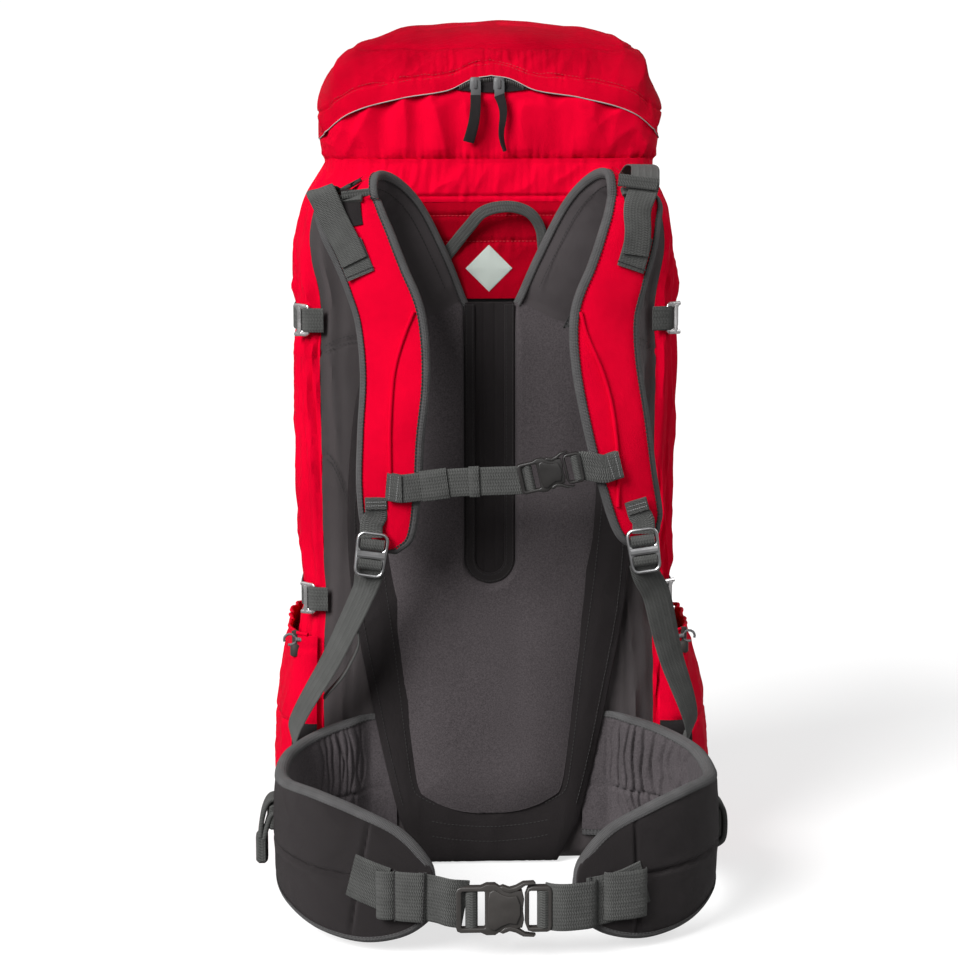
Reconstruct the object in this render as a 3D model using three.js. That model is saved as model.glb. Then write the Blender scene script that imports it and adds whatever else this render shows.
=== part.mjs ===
// A mountaineering backpack that stands on its base, in millimetres, +Z up.
// The harness faces -Y, as a wearer would stand there, and left is -X.

import * as THREE from 'three';
import { mergeVertices } from 'three/addons/utils/BufferGeometryUtils.js';

// Driving sizes
const WALL = 2; // sewn cloth
const GAP = 0.4; // between pieces that lie on each other
const BACK = -115; // Y of the flat back
const SEAM_GAP = 0.0025; // radians left open at each side of a seam
const WEB = 25; // strap webbing
const HIP_WEB = 40; // belt webbing
const WEB_THICK = 1.8;
const STRAP_THICK = 12; // padded shoulder strap
const WING_THICK = 14; // padded belt wing
const BORDER_THICK = 8; // black pad on the back
const PAD_THICK = 10; // grey pad on the black one
const CHANNEL_THICK = 3; // strip down the middle of the grey pad
const YOKE_THICK = 3;
const LAP = 4; // how far the lid's skirt sits inside its rain flap
const ZIP_THICK = 1;

const BACK_POWER = 6; // the back is nearly flat
const FRONT_POWER = 3; // the front is rounder
const BACK_SEAM = 0.87; // seams, as a share of the half width
const FRONT_SEAM = 0.9;

const COLOUR = {
  red: 0xc8102a,
  charcoal: 0x434041,
  black: 0x232122,
  pad: 0x5c5458,
  web: 0x4c514f,
  plastic: 0x322f2d,
  metal: 0xb9babd,
};

// Outline of the bag at each height: half width, and depth behind and before the middle
const BAG = [
  { z: 0, half: 150, back: 99, front: 94 },
  { z: 8, half: 166, back: 110, front: 107 },
  { z: 30, half: 175, back: 115, front: 116 },
  { z: 100, half: 178, back: 115, front: 123 },
  { z: 260, half: 174, back: 115, front: 128 },
  { z: 390, half: 176, back: 115, front: 131 },
  { z: 510, half: 178, back: 115, front: 130 },
  { z: 560, half: 176, back: 115, front: 126 },
  { z: 605, half: 167, back: 113, front: 117 },
  { z: 638, half: 150, back: 110, front: 104 },
];
const BAG_LEVELS = [
  0, 3, 8, 18, 30, 65, 100, 150, 200, 226, 240, 254,
  290, 340, 400, 450, 488, 502, 516, 545, 575, 605, 622, 638,
];
const BASE_THICK = 2.4;

// Dents and folds of the bag: where they are, how deep, and how far they spread up and around
const FOLDS = [
  { z: 502, angle: -0.1, depth: 5, tall: 26, wide: 0.5 },
  { z: 502, angle: Math.PI + 0.1, depth: 5, tall: 26, wide: 0.5 },
  { z: 242, angle: -0.1, depth: 6, tall: 28, wide: 0.5 },
  { z: 242, angle: Math.PI + 0.1, depth: 6, tall: 28, wide: 0.5 },
  { z: 590, angle: 0.7, depth: 5, tall: 22, wide: 0.25 },
  { z: 596, angle: 2.3, depth: 6, tall: 20, wide: 0.3 },
  { z: 400, angle: 1.5, depth: 4, tall: 60, wide: 0.3 },
  { z: 150, angle: 1.7, depth: 4, tall: 45, wide: 0.35 },
];

// Outline of the lid from its hem to its top
const LID = [
  { z: 643, half: 152, back: 114, front: 120 },
  { z: 658, half: 155, back: 116, front: 128 },
  { z: 680, half: 157, back: 116, front: 133 },
  { z: 700, half: 155, back: 114, front: 133 },
  { z: 720, half: 149, back: 107, front: 129 },
  { z: 738, half: 140, back: 95, front: 120 },
  { z: 750, half: 127, back: 79, front: 105 },
  { z: 760, half: 103, back: 57, front: 80 },
  { z: 767, half: 66, back: 32, front: 48 },
  { z: 770, half: 24, back: 12, front: 18 },
];
const LID_TOP_Z = 770.4;

// Lower edge of the lid's rain flap on the wearer's side, from the middle outward
const FLAP_EDGE = [
  { across: 0, z: 720 },
  { across: 18, z: 717 },
  { across: 40, z: 707 },
  { across: 82, z: 700 },
  { across: 128, z: 686 },
  { across: 157, z: 663 },
];

const LID_BASE = { low: 644, high: 646 };
const HINGE = { half: 128, low: 616, high: 645, lift: 1 };
const ZIP = { left: -36, right: 40, low: 703, lift: 0.3 };
const ZIP_PULL = { high: 711, width: 9, thick: 2.2, lift: 1.7 };
const ZIP_PULLS = [
  { name: 'zip_pull_left', top: -10, foot: -16, low: 661 },
  { name: 'zip_pull_right', top: 11, foot: 15, low: 653 },
];

// Half widths of the two back pads and of the red yoke above them, at each height
const BORDER = [
  { z: 2, half: 62 },
  { z: 24, half: 74 },
  { z: 47, half: 84 },
  { z: 140, half: 105 },
  { z: 275, half: 127 },
  { z: 400, half: 124 },
  { z: 470, half: 108 },
  { z: 500, half: 80 },
  { z: 518, half: 40 },
];
const PAD = [
  { z: 49, half: 12 },
  { z: 53, half: 36 },
  { z: 66, half: 57 },
  { z: 94, half: 68 },
  { z: 190, half: 80 },
  { z: 286, half: 92 },
  { z: 360, half: 98 },
  { z: 450, half: 95 },
  { z: 485, half: 86 },
  { z: 498, half: 72 },
  { z: 511, half: 46 },
  { z: 519, half: 29 },
];
const CHANNEL = { half: 23, low: 264, high: 519 };
const YOKE = [
  { z: 522, half: 64 },
  { z: 600, half: 104 },
  { z: 614, half: 104 },
];

// Grab handle between the roots of the shoulder straps
const HANDLE = [
  { across: -31, out: 6.3, z: 566 },
  { across: -27, out: 6.6, z: 572 },
  { across: -17, out: 11, z: 586 },
  { across: -2, out: 15, z: 599 },
  { across: 17, out: 17, z: 604 },
  { across: 34, out: 14, z: 598 },
  { across: 43, out: 8, z: 584 },
  { across: 44, out: 6.3, z: 571 },
];
const HANDLE_HALF = 5.5;
const HANDLE_THICK = 4.6;

// Shoulder straps from the back pad over the bend and down to the tip.
// Tilt is the slope of the strap across its width, in degrees, up toward the neck.
const STRAPS = {
  left: [
    { across: 47.5, out: 12, z: 515, tilt: 24, width: 54 },
    { across: 62, out: 13, z: 548, tilt: 24, width: 57 },
    { across: 82, out: 18, z: 589, tilt: 25, width: 57 },
    { across: 99, out: 30, z: 609, tilt: 30, width: 57 },
    { across: 116, out: 46, z: 617, tilt: 30, width: 57 },
    { across: 125, out: 60, z: 609, tilt: 25, width: 58 },
    { across: 121, out: 69, z: 593, tilt: 22, width: 59 },
    { across: 111, out: 75, z: 573, tilt: 20, width: 59 },
    { across: 96, out: 81, z: 543, tilt: 17, width: 59 },
    { across: 85, out: 86, z: 510, tilt: 9, width: 60 },
    { across: 82, out: 90, z: 462, tilt: 2, width: 58 },
    { across: 87, out: 88, z: 410, tilt: -3, width: 55 },
    { across: 91, out: 80, z: 360, tilt: -4, width: 50 },
    { across: 93, out: 70, z: 318, tilt: -4, width: 42 },
    { across: 94, out: 67, z: 306, tilt: -4, width: 26 },
  ],
  right: [
    { across: 51, out: 12, z: 515, tilt: 27, width: 54 },
    { across: 67, out: 13, z: 548, tilt: 27, width: 57 },
    { across: 88, out: 18, z: 590, tilt: 28, width: 57 },
    { across: 104, out: 30, z: 611, tilt: 31, width: 57 },
    { across: 119, out: 46, z: 620, tilt: 30, width: 57 },
    { across: 128, out: 60, z: 611, tilt: 25, width: 57 },
    { across: 126, out: 69, z: 597, tilt: 22, width: 57 },
    { across: 119, out: 75, z: 577, tilt: 20, width: 57 },
    { across: 105, out: 81, z: 546, tilt: 16, width: 58 },
    { across: 97, out: 86, z: 512, tilt: 5, width: 62 },
    { across: 98, out: 90, z: 472, tilt: -6, width: 62 },
    { across: 110, out: 90, z: 418, tilt: -13, width: 60 },
    { across: 121, out: 84, z: 370, tilt: -16, width: 54 },
    { across: 131, out: 74, z: 330, tilt: -18, width: 46 },
    { across: 136, out: 70, z: 314, tilt: -18, width: 28 },
  ],
};

// Belt wing from the back pad round to its nose: plan position, and lower and upper edge
const WING = [
  { across: 84, out: 7.6, low: 26, high: 142 },
  { across: 120, out: 9, low: 24, high: 140 },
  { across: 155, out: 24, low: 22, high: 132 },
  { across: 183, out: 62, low: 24, high: 125 },
  { across: 192, out: 115, low: 24, high: 121 },
  { across: 184, out: 175, low: 16, high: 126 },
  { across: 156, out: 224, low: 6, high: 129 },
  { across: 118, out: 254, low: 4, high: 121 },
  { across: 84, out: 268, low: 10, high: 106 },
  { across: 62, out: 274, low: 28, high: 82 },
  { across: 57, out: 275.2, low: 44, high: 64 },
];

// Side pocket: how far it stands off the bag from its foot to its hem
const POCKET = [
  { z: 14, off: 0.6 },
  { z: 30, off: 16 },
  { z: 62, off: 26 },
  { z: 98, off: 27 },
  { z: 150, off: 23 },
  { z: 190, off: 15 },
  { z: 212, off: 11 },
];
const POCKET_ANGLES = { back: -0.42, front: 0.62 };
const POCKET_SEAT = 0.8; // least distance of a pocket from the bag
const POCKET_SHARES = [0, 0.03, 0.08, 0.16, 0.28, 0.42, 0.58, 0.74, 0.88, 1];
const POCKET_LOCK = { half: 6, tall: 9, thick: 9, z: 203, lift: 8.3, turn: 0.02 };

// Load lifters: from the bag's corner over the strap's bend, with a tail on the strap's face
const LIFTERS = {
  left: {
    free: [[126, -2.8, 616], [128, -2, 627], [133, 16, 636], [143, 46, 635], [148, 67, 625]],
    laid: [{ z: 600, share: -0.35 }, { z: 580, share: -0.15 }, { z: 552, share: -0.25 }],
  },
  right: {
    free: [[124, -2.8, 616], [125, -2, 629], [127, 18, 642], [129, 48, 645], [129, 69, 635]],
    laid: [{ z: 602, share: 0 }, { z: 580, share: -0.28 }, { z: 558, share: -0.55 }],
  },
};
const LIFTER_LOCK = { place: 4.3, share: 0.2, lift: 2.9, width: 26, height: 14 };

// Lower ends of the straps: sewn tab, ladder lock, and the webbing down to the bag's foot
const LOCK = { width: 29, height: 41 };
const LOCK_TAB = 20;
const STRAP_ENDS = {
  left: {
    tabTop: 352,
    tabShare: -0.5,
    lock: [105, 80, 304],
    foot: [[117, 63, 262], [146, 40, 205], [177, 20, 132]],
  },
  right: {
    tabTop: 360,
    tabShare: -0.25,
    lock: [137, 83, 306],
    foot: [[146, 65, 262], [161, 42, 205], [184, 20, 132]],
  },
};
const FOOT = { angle: -0.62, high: 96, low: 78 };

// Buckles and loops of the two closures
const STERNUM = { length: 51, height: 27, thick: 8, across: 49, out: 97, z: 377, slope: 0.12 };
const STERNUM_ENDS = { left: 367, right: 387 };
const HIP_BUCKLE = { length: 79, height: 46, thick: 11, across: 1, out: 281, z: 38 };
const HIP_LOOP = { deep: 13, low: 46, high: 98, out: 128, wall: 2, radius: 6, lift: 0.6 };

// Compression straps round the sides, with a metal hook at the wearer's end
const SIDE_WEBS = { upper: 502, lower: 240 };
const SIDE_WEB = 20;
const HOOK = { half: 12, thick: 2.6, slotNear: 3.5, slotFar: 8.5 };

// Points and tables

function at(across, out, z) {
  return new THREE.Vector3(across, BACK - out, z);
}

function hermite(before, from, to, after, share) {
  const rise = (to.value - before.value) / (to.key - before.key);
  const fall = (after.value - from.value) / (after.key - from.key);
  const span = to.key - from.key;
  const square = share * share;
  const cube = square * share;
  return (
    (2 * cube - 3 * square + 1) * from.value +
    (cube - 2 * square + share) * span * rise +
    (3 * square - 2 * cube) * to.value +
    (cube - square) * span * fall
  );
}

// A smooth value of one column of a table where its key column has the given value
function lookUp(rows, key, column, where) {
  const last = rows.length - 1;
  const clamped = Math.min(Math.max(where, rows[0][key]), rows[last][key]);
  let i = 0;
  while (i < last - 1 && rows[i + 1][key] < clamped) i += 1;
  const pick = (n) => {
    const row = rows[Math.min(Math.max(n, 0), last)];
    return { key: row[key], value: row[column] };
  };
  const from = pick(i);
  const to = pick(i + 1);
  const before = i === 0 ? from : pick(i - 1);
  const after = i + 1 === last ? to : pick(i + 2);
  return hermite(before, from, to, after, (clamped - from.key) / (to.key - from.key));
}

// A whole row of a table at a place between its rows
function rowAt(rows, place) {
  const numbered = rows.map((row, place) => ({ place, ...row }));
  const found = {};
  for (const column of Object.keys(rows[0])) {
    found[column] = lookUp(numbered, 'place', column, place);
  }
  return found;
}

function solve(f, low, high) {
  for (let i = 0; i < 40; i += 1) {
    const middle = (low + high) / 2;
    if (f(middle) < 0) low = middle;
    else high = middle;
  }
  return (low + high) / 2;
}

function steps(count) {
  return Array.from({ length: count + 1 }, (_, i) => i / count);
}

function mix(a, b, share) {
  return a + (b - a) * share;
}

// Closed bodies

function solid(points, triangles) {
  let volume = 0;
  const cross = new THREE.Vector3();
  for (const [a, b, c] of triangles) {
    volume += points[a].dot(cross.crossVectors(points[b], points[c]));
  }
  const turned = volume < 0 ? triangles.map(([a, b, c]) => [a, c, b]) : triangles;
  const geometry = new THREE.BufferGeometry().setFromPoints(points);
  geometry.setIndex(turned.flat());
  return geometry;
}

function quad(triangles, a, b, c, d) {
  triangles.push([a, b, c], [a, c, d]);
}

// A sheet between two faces, each a function of u and v from 0 to 1
function sheet(front, rear, us, vs) {
  const wide = us.length;
  const faces = [front, rear];
  const points = faces.flatMap((face) => vs.flatMap((v) => us.map((u) => face(u, v))));
  const far = wide * vs.length;
  const id = (i, j) => j * wide + i;
  const triangles = [];
  for (let j = 0; j + 1 < vs.length; j += 1) {
    for (let i = 0; i + 1 < wide; i += 1) {
      quad(triangles, id(i, j), id(i + 1, j), id(i + 1, j + 1), id(i, j + 1));
      quad(triangles, far + id(i, j), far + id(i, j + 1), far + id(i + 1, j + 1), far + id(i + 1, j));
    }
  }
  const rim = [];
  for (let i = 0; i + 1 < wide; i += 1) rim.push(id(i, 0));
  for (let j = 0; j + 1 < vs.length; j += 1) rim.push(id(wide - 1, j));
  for (let i = wide - 1; i > 0; i -= 1) rim.push(id(i, vs.length - 1));
  for (let j = vs.length - 1; j > 0; j -= 1) rim.push(id(0, j));
  rim.forEach((a, n) => {
    const b = rim[(n + 1) % rim.length];
    quad(triangles, b, a, far + a, far + b);
  });
  return solid(points, triangles);
}

// Rings that close around, joined in order. Ends are closed by a fan to a tip point,
// or the last ring joins the first when loop is set.
function rings(list, { firstTip, lastTip, loop } = {}) {
  const around = list[0].length;
  const points = list.flat();
  const triangles = [];
  const id = (r, i) => r * around + (i % around);
  for (let r = 0; r + 1 < list.length; r += 1) {
    for (let i = 0; i < around; i += 1) {
      quad(triangles, id(r, i), id(r, i + 1), id(r + 1, i + 1), id(r + 1, i));
    }
  }
  const last = list.length - 1;
  for (let i = 0; i < around; i += 1) {
    if (loop) quad(triangles, id(last, i), id(last, i + 1), id(0, i + 1), id(0, i));
    if (firstTip) triangles.push([points.length, id(0, i + 1), id(0, i)]);
    if (lastTip) triangles.push([points.length + (firstTip ? 1 : 0), id(last, i), id(last, i + 1)]);
  }
  if (firstTip) points.push(firstTip);
  if (lastTip) points.push(lastTip);
  return solid(points, triangles);
}

// A flat slab between two heights
function slab(outline, low, high) {
  const ring = (z) => outline.map((p) => new THREE.Vector3(p.x, p.y, z));
  const tip = (z) => new THREE.Vector3(0, 0, z);
  return rings([ring(low), ring(high)], { firstTip: tip(low), lastTip: tip(high) });
}

// A plate with rounded edges, drawn as a shape, then set on the axes given
function plate(shape, thick, bevel, origin, right, up, { curve = 1, rounds = 1 } = {}) {
  const geometry = new THREE.ExtrudeGeometry(shape, {
    depth: thick - 2 * bevel,
    bevelEnabled: bevel > 0,
    bevelSize: bevel,
    bevelThickness: bevel,
    bevelOffset: -bevel,
    bevelSegments: rounds,
    curveSegments: curve,
  });
  geometry.translate(0, 0, bevel);
  const x = right.clone().normalize();
  const z = x.clone().cross(up).normalize();
  const y = z.clone().cross(x);
  geometry.applyMatrix4(new THREE.Matrix4().makeBasis(x, y, z).setPosition(origin));
  geometry.deleteAttribute('normal');
  geometry.deleteAttribute('uv');
  return mergeVertices(geometry, 1e-4);
}

function roundedBox(shape, left, low, right, high, radius) {
  shape.moveTo(left + radius, low);
  shape.lineTo(right - radius, low);
  shape.quadraticCurveTo(right, low, right, low + radius);
  shape.lineTo(right, high - radius);
  shape.quadraticCurveTo(right, high, right - radius, high);
  shape.lineTo(left + radius, high);
  shape.quadraticCurveTo(left, high, left, high - radius);
  shape.lineTo(left, low + radius);
  shape.quadraticCurveTo(left, low, left + radius, low);
  return shape;
}

// A section swept along stations, each with a place, a side direction and a face direction
function sweep(stations, section) {
  const list = stations.map(({ place, side, face, half, thick }) =>
    section.map(([s, f]) =>
      place.clone().addScaledVector(side, s * half).addScaledVector(face, (f * thick) / 2),
    ),
  );
  const tip = (ring) => ring.reduce((sum, p) => sum.add(p), new THREE.Vector3()).divideScalar(ring.length);
  return rings(list, { firstTip: tip(list[0]), lastTip: tip(list[list.length - 1]) });
}

const FLAT_SECTION = [[-1, -1], [1, -1], [1, 1], [-1, 1]];
const PADDED_SECTION = [
  [-1, -0.35], [-0.9, -0.8], [-0.6, -1], [0.6, -1], [0.9, -0.8], [1, -0.35],
  [1, 0.35], [0.9, 0.8], [0.6, 1], [-0.6, 1], [-0.9, 0.8], [-1, 0.35],
];

// Webbing along points. Its face looks along a direction, or away from a point or an upright axis.
function webbing(points, width, count, look) {
  const curve = new THREE.CatmullRomCurve3(points, false, 'centripetal');
  const stations = steps(count).map((share) => {
    const place = curve.getPoint(share);
    const along = curve.getTangent(share);
    const wanted = look.to ? look.to.clone() : place.clone().sub(look.from || look.axis);
    if (look.axis) wanted.z = 0;
    const side = along.clone().cross(wanted).normalize();
    const face = side.clone().cross(along).normalize();
    return { place, side, face, half: width / 2, thick: WEB_THICK };
  });
  return sweep(stations, FLAT_SECTION);
}

const TO_WEARER = new THREE.Vector3(0, -1, 0);
const TO_LEFT = new THREE.Vector3(-1, 1, 1); // factors that mirror a point
const RIGHT = new THREE.Vector3(1, 0, 0);
const UP = new THREE.Vector3(0, 0, 1);

// The assembly

const pack = new THREE.Group();
pack.name = 'backpack';

function add(name, geometry, colour, { rough = 0.85, metal = 0 } = {}) {
  const finish = { color: COLOUR[colour], roughness: rough, metalness: metal };
  const material = new THREE.MeshStandardMaterial(finish);
  const mesh = new THREE.Mesh(geometry, material);
  mesh.name = name;
  pack.add(mesh);
}

function mirrored(geometry) {
  geometry.applyMatrix4(new THREE.Matrix4().makeScale(-1, 1, 1));
  const index = geometry.getIndex();
  for (let i = 0; i < index.count; i += 3) {
    const kept = index.getX(i + 1);
    index.setX(i + 1, index.getX(i + 2));
    index.setX(i + 2, kept);
  }
  return geometry;
}

const SIDES = { left: -1, right: 1 };

// Bodies are drawn on the right and mirrored for the left
function sided(side, geometry) {
  return side === 'left' ? mirrored(geometry) : geometry;
}

// Outlines of the bag and the lid

function outlinePoint(row, angle, inset) {
  const c = Math.cos(angle);
  const s = Math.sin(angle);
  const power = s < 0 ? BACK_POWER : FRONT_POWER;
  const depth = s < 0 ? row.back : row.front;
  const bend = (part) => Math.sign(part) * Math.abs(part) ** (2 / power);
  return new THREE.Vector3((row.half - inset) * bend(c), (depth - inset) * bend(s), row.z);
}

function backDepth(row, across, inset) {
  const share = Math.min(Math.abs(across) / (row.half - inset), 1);
  return -(row.back - inset) * (1 - share ** BACK_POWER) ** (1 / BACK_POWER);
}

function bagRow(z) {
  const column = (name) => lookUp(BAG, 'z', name, z);
  return { z, half: column('half'), back: Math.min(column('back'), -BACK), front: column('front') };
}

function foldDepth(angle, z) {
  let depth = 0;
  for (const fold of FOLDS) {
    const turn = Math.atan2(Math.sin(angle - fold.angle), Math.cos(angle - fold.angle));
    depth += fold.depth * Math.exp(-(((z - fold.z) / fold.tall) ** 2) - (turn / fold.wide) ** 2);
  }
  return depth;
}

function bagPoint(angle, z, inset) {
  return outlinePoint(bagRow(z), angle, inset + foldDepth(angle, z));
}

const backSeam = Math.acos(BACK_SEAM ** (BACK_POWER / 2));
const frontSeam = Math.acos(FRONT_SEAM ** (FRONT_POWER / 2));

function bagPanel(from, to, count) {
  const share = BAG_LEVELS.map((z) => z / BAG_LEVELS[BAG_LEVELS.length - 1]);
  const top = BAG_LEVELS[BAG_LEVELS.length - 1];
  const angle = (u) => mix(from + SEAM_GAP, to - SEAM_GAP, u);
  return sheet(
    (u, v) => bagPoint(angle(u), v * top, 0),
    (u, v) => bagPoint(angle(u), v * top, WALL),
    steps(count),
    share,
  );
}

function addBag() {
  add('bag_back', bagPanel(backSeam - Math.PI, -backSeam, 8), 'charcoal');
  add('bag_front', bagPanel(frontSeam, Math.PI - frontSeam, 10), 'red');
  add('bag_side_right', bagPanel(-backSeam, frontSeam, 11), 'red');
  add('bag_side_left', bagPanel(Math.PI - frontSeam, Math.PI + backSeam, 11), 'red');
  const outline = steps(48).slice(1).map((u) => outlinePoint(bagRow(0), 2 * Math.PI * u, WALL + 0.6));
  add('bag_base', slab(outline, 0, BASE_THICK), 'black');
}

// Lid

function lidZ(place) {
  return rowAt(LID, place).z;
}

function lidPlace(z) {
  return solve((place) => lidZ(place) - z, 0, LID.length - 1);
}

function flapEdge(angle) {
  if (Math.sin(angle) >= 0) return FLAP_EDGE[FLAP_EDGE.length - 1].z;
  const across = Math.abs(Math.cos(angle)) ** (2 / BACK_POWER) * LID[2].half;
  return lookUp(FLAP_EDGE, 'across', 'z', across);
}

// Angles around the lid: even steps in front, closer steps across the wearer's side
const BACK_SHARES = [0.97, 0.9, 0.8, 0.66, 0.5, 0.36, 0.24, 0.12];
const LID_ANGLES = [
  ...steps(16).map((share) => Math.PI * share),
  ...BACK_SHARES.map((share) => Math.PI + Math.acos(share ** (BACK_POWER / 2))),
  1.5 * Math.PI,
  ...BACK_SHARES.map((share) => 2 * Math.PI - Math.acos(share ** (BACK_POWER / 2))).reverse(),
];

function lidRing(place, inset) {
  return LID_ANGLES.map((angle) => outlinePoint(rowAt(LID, place(angle)), angle, inset));
}

function lidCrown() {
  const last = LID.length - 1;
  const between = (share) => (angle) => mix(lidPlace(flapEdge(angle)), last, share);
  const outer = steps(8).map((share) => lidRing(between(share), 0));
  const inner = steps(8).map((share) => lidRing(between(share), WALL));
  for (const ring of inner) for (const p of ring) p.z -= WALL * Math.min(1, Math.max(0, (p.z - 700) / 50));
  const top = new THREE.Vector3(0, 3, LID_TOP_Z);
  const under = new THREE.Vector3(0, 3, LID_TOP_Z - WALL);
  return rings([...outer.reverse(), ...inner], { firstTip: top, lastTip: under });
}

function lidSkirt() {
  const under = 7; // how far the skirt runs up under the flap
  const level = (share) => (angle) => mix(0, lidPlace(flapEdge(angle) + under), share);
  const outer = steps(5).map((share) => lidRing(level(share), LAP));
  const inner = steps(5).map((share) => lidRing(level(share), LAP + WALL));
  return rings([...outer, ...inner.reverse()], { loop: true });
}

// A strip on the wearer's face of the lid's skirt, lifted off it
function onSkirt(across, z, lift) {
  const row = rowAt(LID, lidPlace(z));
  return new THREE.Vector3(across, backDepth(row, across, LAP) - lift, z);
}

function addLid() {
  add('lid_top', lidCrown(), 'red');
  add('lid_lower', lidSkirt(), 'red');
  const outline = lidRing(() => lidPlace(mix(LID_BASE.low, LID_BASE.high, 0.5)), LAP + WALL + 0.9);
  add('lid_base', slab(outline, LID_BASE.low, LID_BASE.high), 'red');
  const zipFace = (lift) => (u, v) => {
    const across = mix(ZIP.left, ZIP.right, u);
    const high = lookUp(FLAP_EDGE, 'across', 'z', Math.abs(across));
    return onSkirt(across, mix(ZIP.low, high, v), lift);
  };
  add('lid_zip', sheet(zipFace(ZIP.lift + ZIP_THICK), zipFace(ZIP.lift), steps(8), steps(2)), 'black');
  for (const pull of ZIP_PULLS) addZipPull(pull);
  const hingeFace = (lift) => (u, v) => {
    const across = mix(-HINGE.half, HINGE.half, u);
    const z = mix(HINGE.low, HINGE.high, v);
    const onBag = backDepth(bagRow(z), across, 0);
    const onLid = backDepth(rowAt(LID, lidPlace(Math.max(z, LID[0].z))), across, LAP);
    return new THREE.Vector3(across, Math.min(onBag, onLid) - lift, z);
  };
  const hinge = sheet(hingeFace(HINGE.lift + WALL), hingeFace(HINGE.lift), steps(12), steps(5));
  add('lid_hinge_panel', hinge, 'red');
}

function addZipPull({ name, top, foot, low }) {
  const { high, width, thick, lift } = ZIP_PULL;
  const face = (off) => (u, v) => {
    const across = mix(foot, top, v) + (u - 0.5) * width;
    return onSkirt(across, mix(low, high, v), lift + off);
  };
  add(name, sheet(face(thick), face(0), steps(1), steps(8)), 'black');
}

// Pads on the back

function padOutline(rows, levels) {
  const low = rows[0].z;
  const high = rows[rows.length - 1].z;
  const points = levels.map((share) => {
    const z = mix(low, high, share);
    return [lookUp(rows, 'z', 'half', z), z];
  });
  return [...points, ...points.map(([half, z]) => [-half, z]).reverse()];
}

function shapeOf(points) {
  return new THREE.Shape(points.map(([x, y]) => new THREE.Vector2(x, y)));
}

function onBack(shape, thick, bevel, lift) {
  return plate(shape, thick, bevel, at(0, lift, 0), RIGHT, UP, { rounds: 2 });
}

function addBackPads() {
  const levels = [0, 0.008, 0.035, 0.09, 0.2, 0.3, 0.4, 0.5, 0.6, 0.7, 0.8, 0.9, 1];
  add('back_border', onBack(shapeOf(padOutline(BORDER, levels)), BORDER_THICK, 2.5, GAP), 'black');

  const notch = [];
  for (const share of steps(10)) {
    const turn = Math.PI * share;
    const half = CHANNEL.half;
    notch.push([-half * Math.cos(turn), CHANNEL.low + half - half * Math.sin(turn)]);
  }
  const outline = padOutline(PAD, levels);
  const slot = [[-CHANNEL.half, CHANNEL.high], ...notch, [CHANNEL.half, CHANNEL.high]];
  const lift = GAP + BORDER_THICK + GAP;
  const half = outline.length / 2;
  const notched = [...outline.slice(0, half), ...slot.slice().reverse(), ...outline.slice(half)];
  add('back_pad', onBack(shapeOf(notched), PAD_THICK, 3, lift), 'pad');

  const shrink = (CHANNEL.half - 0.6) / CHANNEL.half;
  const strip = slot.map(([x, z]) => [x * shrink, Math.max(z, CHANNEL.low + 0.6)]);
  add('spine_channel', onBack(shapeOf(strip), CHANNEL_THICK, 0.8, lift), 'black');

  const rightEdge = YOKE.map(({ z, half }) => [half, z]);
  const leftEdge = YOKE.map(({ z, half }) => [-half, z]).reverse();
  add('back_yoke', onBack(shapeOf([...rightEdge, ...leftEdge]), YOKE_THICK, 0.8, GAP), 'red');
}

function addHandle() {
  const path = HANDLE.map(({ across, out, z }) => at(across, out, z));
  const curve = new THREE.CatmullRomCurve3(path, false, 'centripetal');
  const stations = steps(14).map((share) => {
    const along = curve.getTangent(share);
    const side = along.clone().cross(TO_WEARER).normalize();
    const face = side.clone().cross(along);
    return { place: curve.getPoint(share), side, face, half: HANDLE_HALF, thick: HANDLE_THICK };
  });
  add('grab_handle', sweep(stations, PADDED_SECTION), 'web');
}

// Shoulder straps

function strapStation(side, place) {
  const rows = STRAPS[side];
  const row = rowAt(rows, place);
  const step = 0.02;
  const last = rows.length - 1;
  const near = (shift) => {
    const beside = rowAt(rows, Math.min(Math.max(place + shift, 0), last));
    return at(beside.across, beside.out, beside.z);
  };
  const along = near(step).sub(near(-step)).normalize();
  const tilt = THREE.MathUtils.degToRad(row.tilt);
  const neck = new THREE.Vector3(-Math.cos(tilt), 0, Math.sin(tilt));
  neck.addScaledVector(along, -neck.dot(along)).normalize();
  const face = neck.clone().cross(along).normalize();
  const spot = at(row.across, row.out, row.z);
  return { place: spot, side: neck, face, half: row.width / 2, thick: STRAP_THICK };
}

// A point lifted off the red face of a strap, at a share of its half width toward the neck
function onStrap(side, place, share, lift) {
  const { place: spot, side: neck, face, half, thick } = strapStation(side, place);
  spot.addScaledVector(neck, share * half).addScaledVector(face, thick / 2 + lift);
  return spot;
}

function strapPlace(side, z) {
  const rows = STRAPS[side];
  return solve((place) => z - rowAt(rows, place).z, 4.6, rows.length - 1);
}

const STRAP_STATIONS = 30;
const WEB_LIFT = WEB_THICK / 2 + 0.5;

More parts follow.
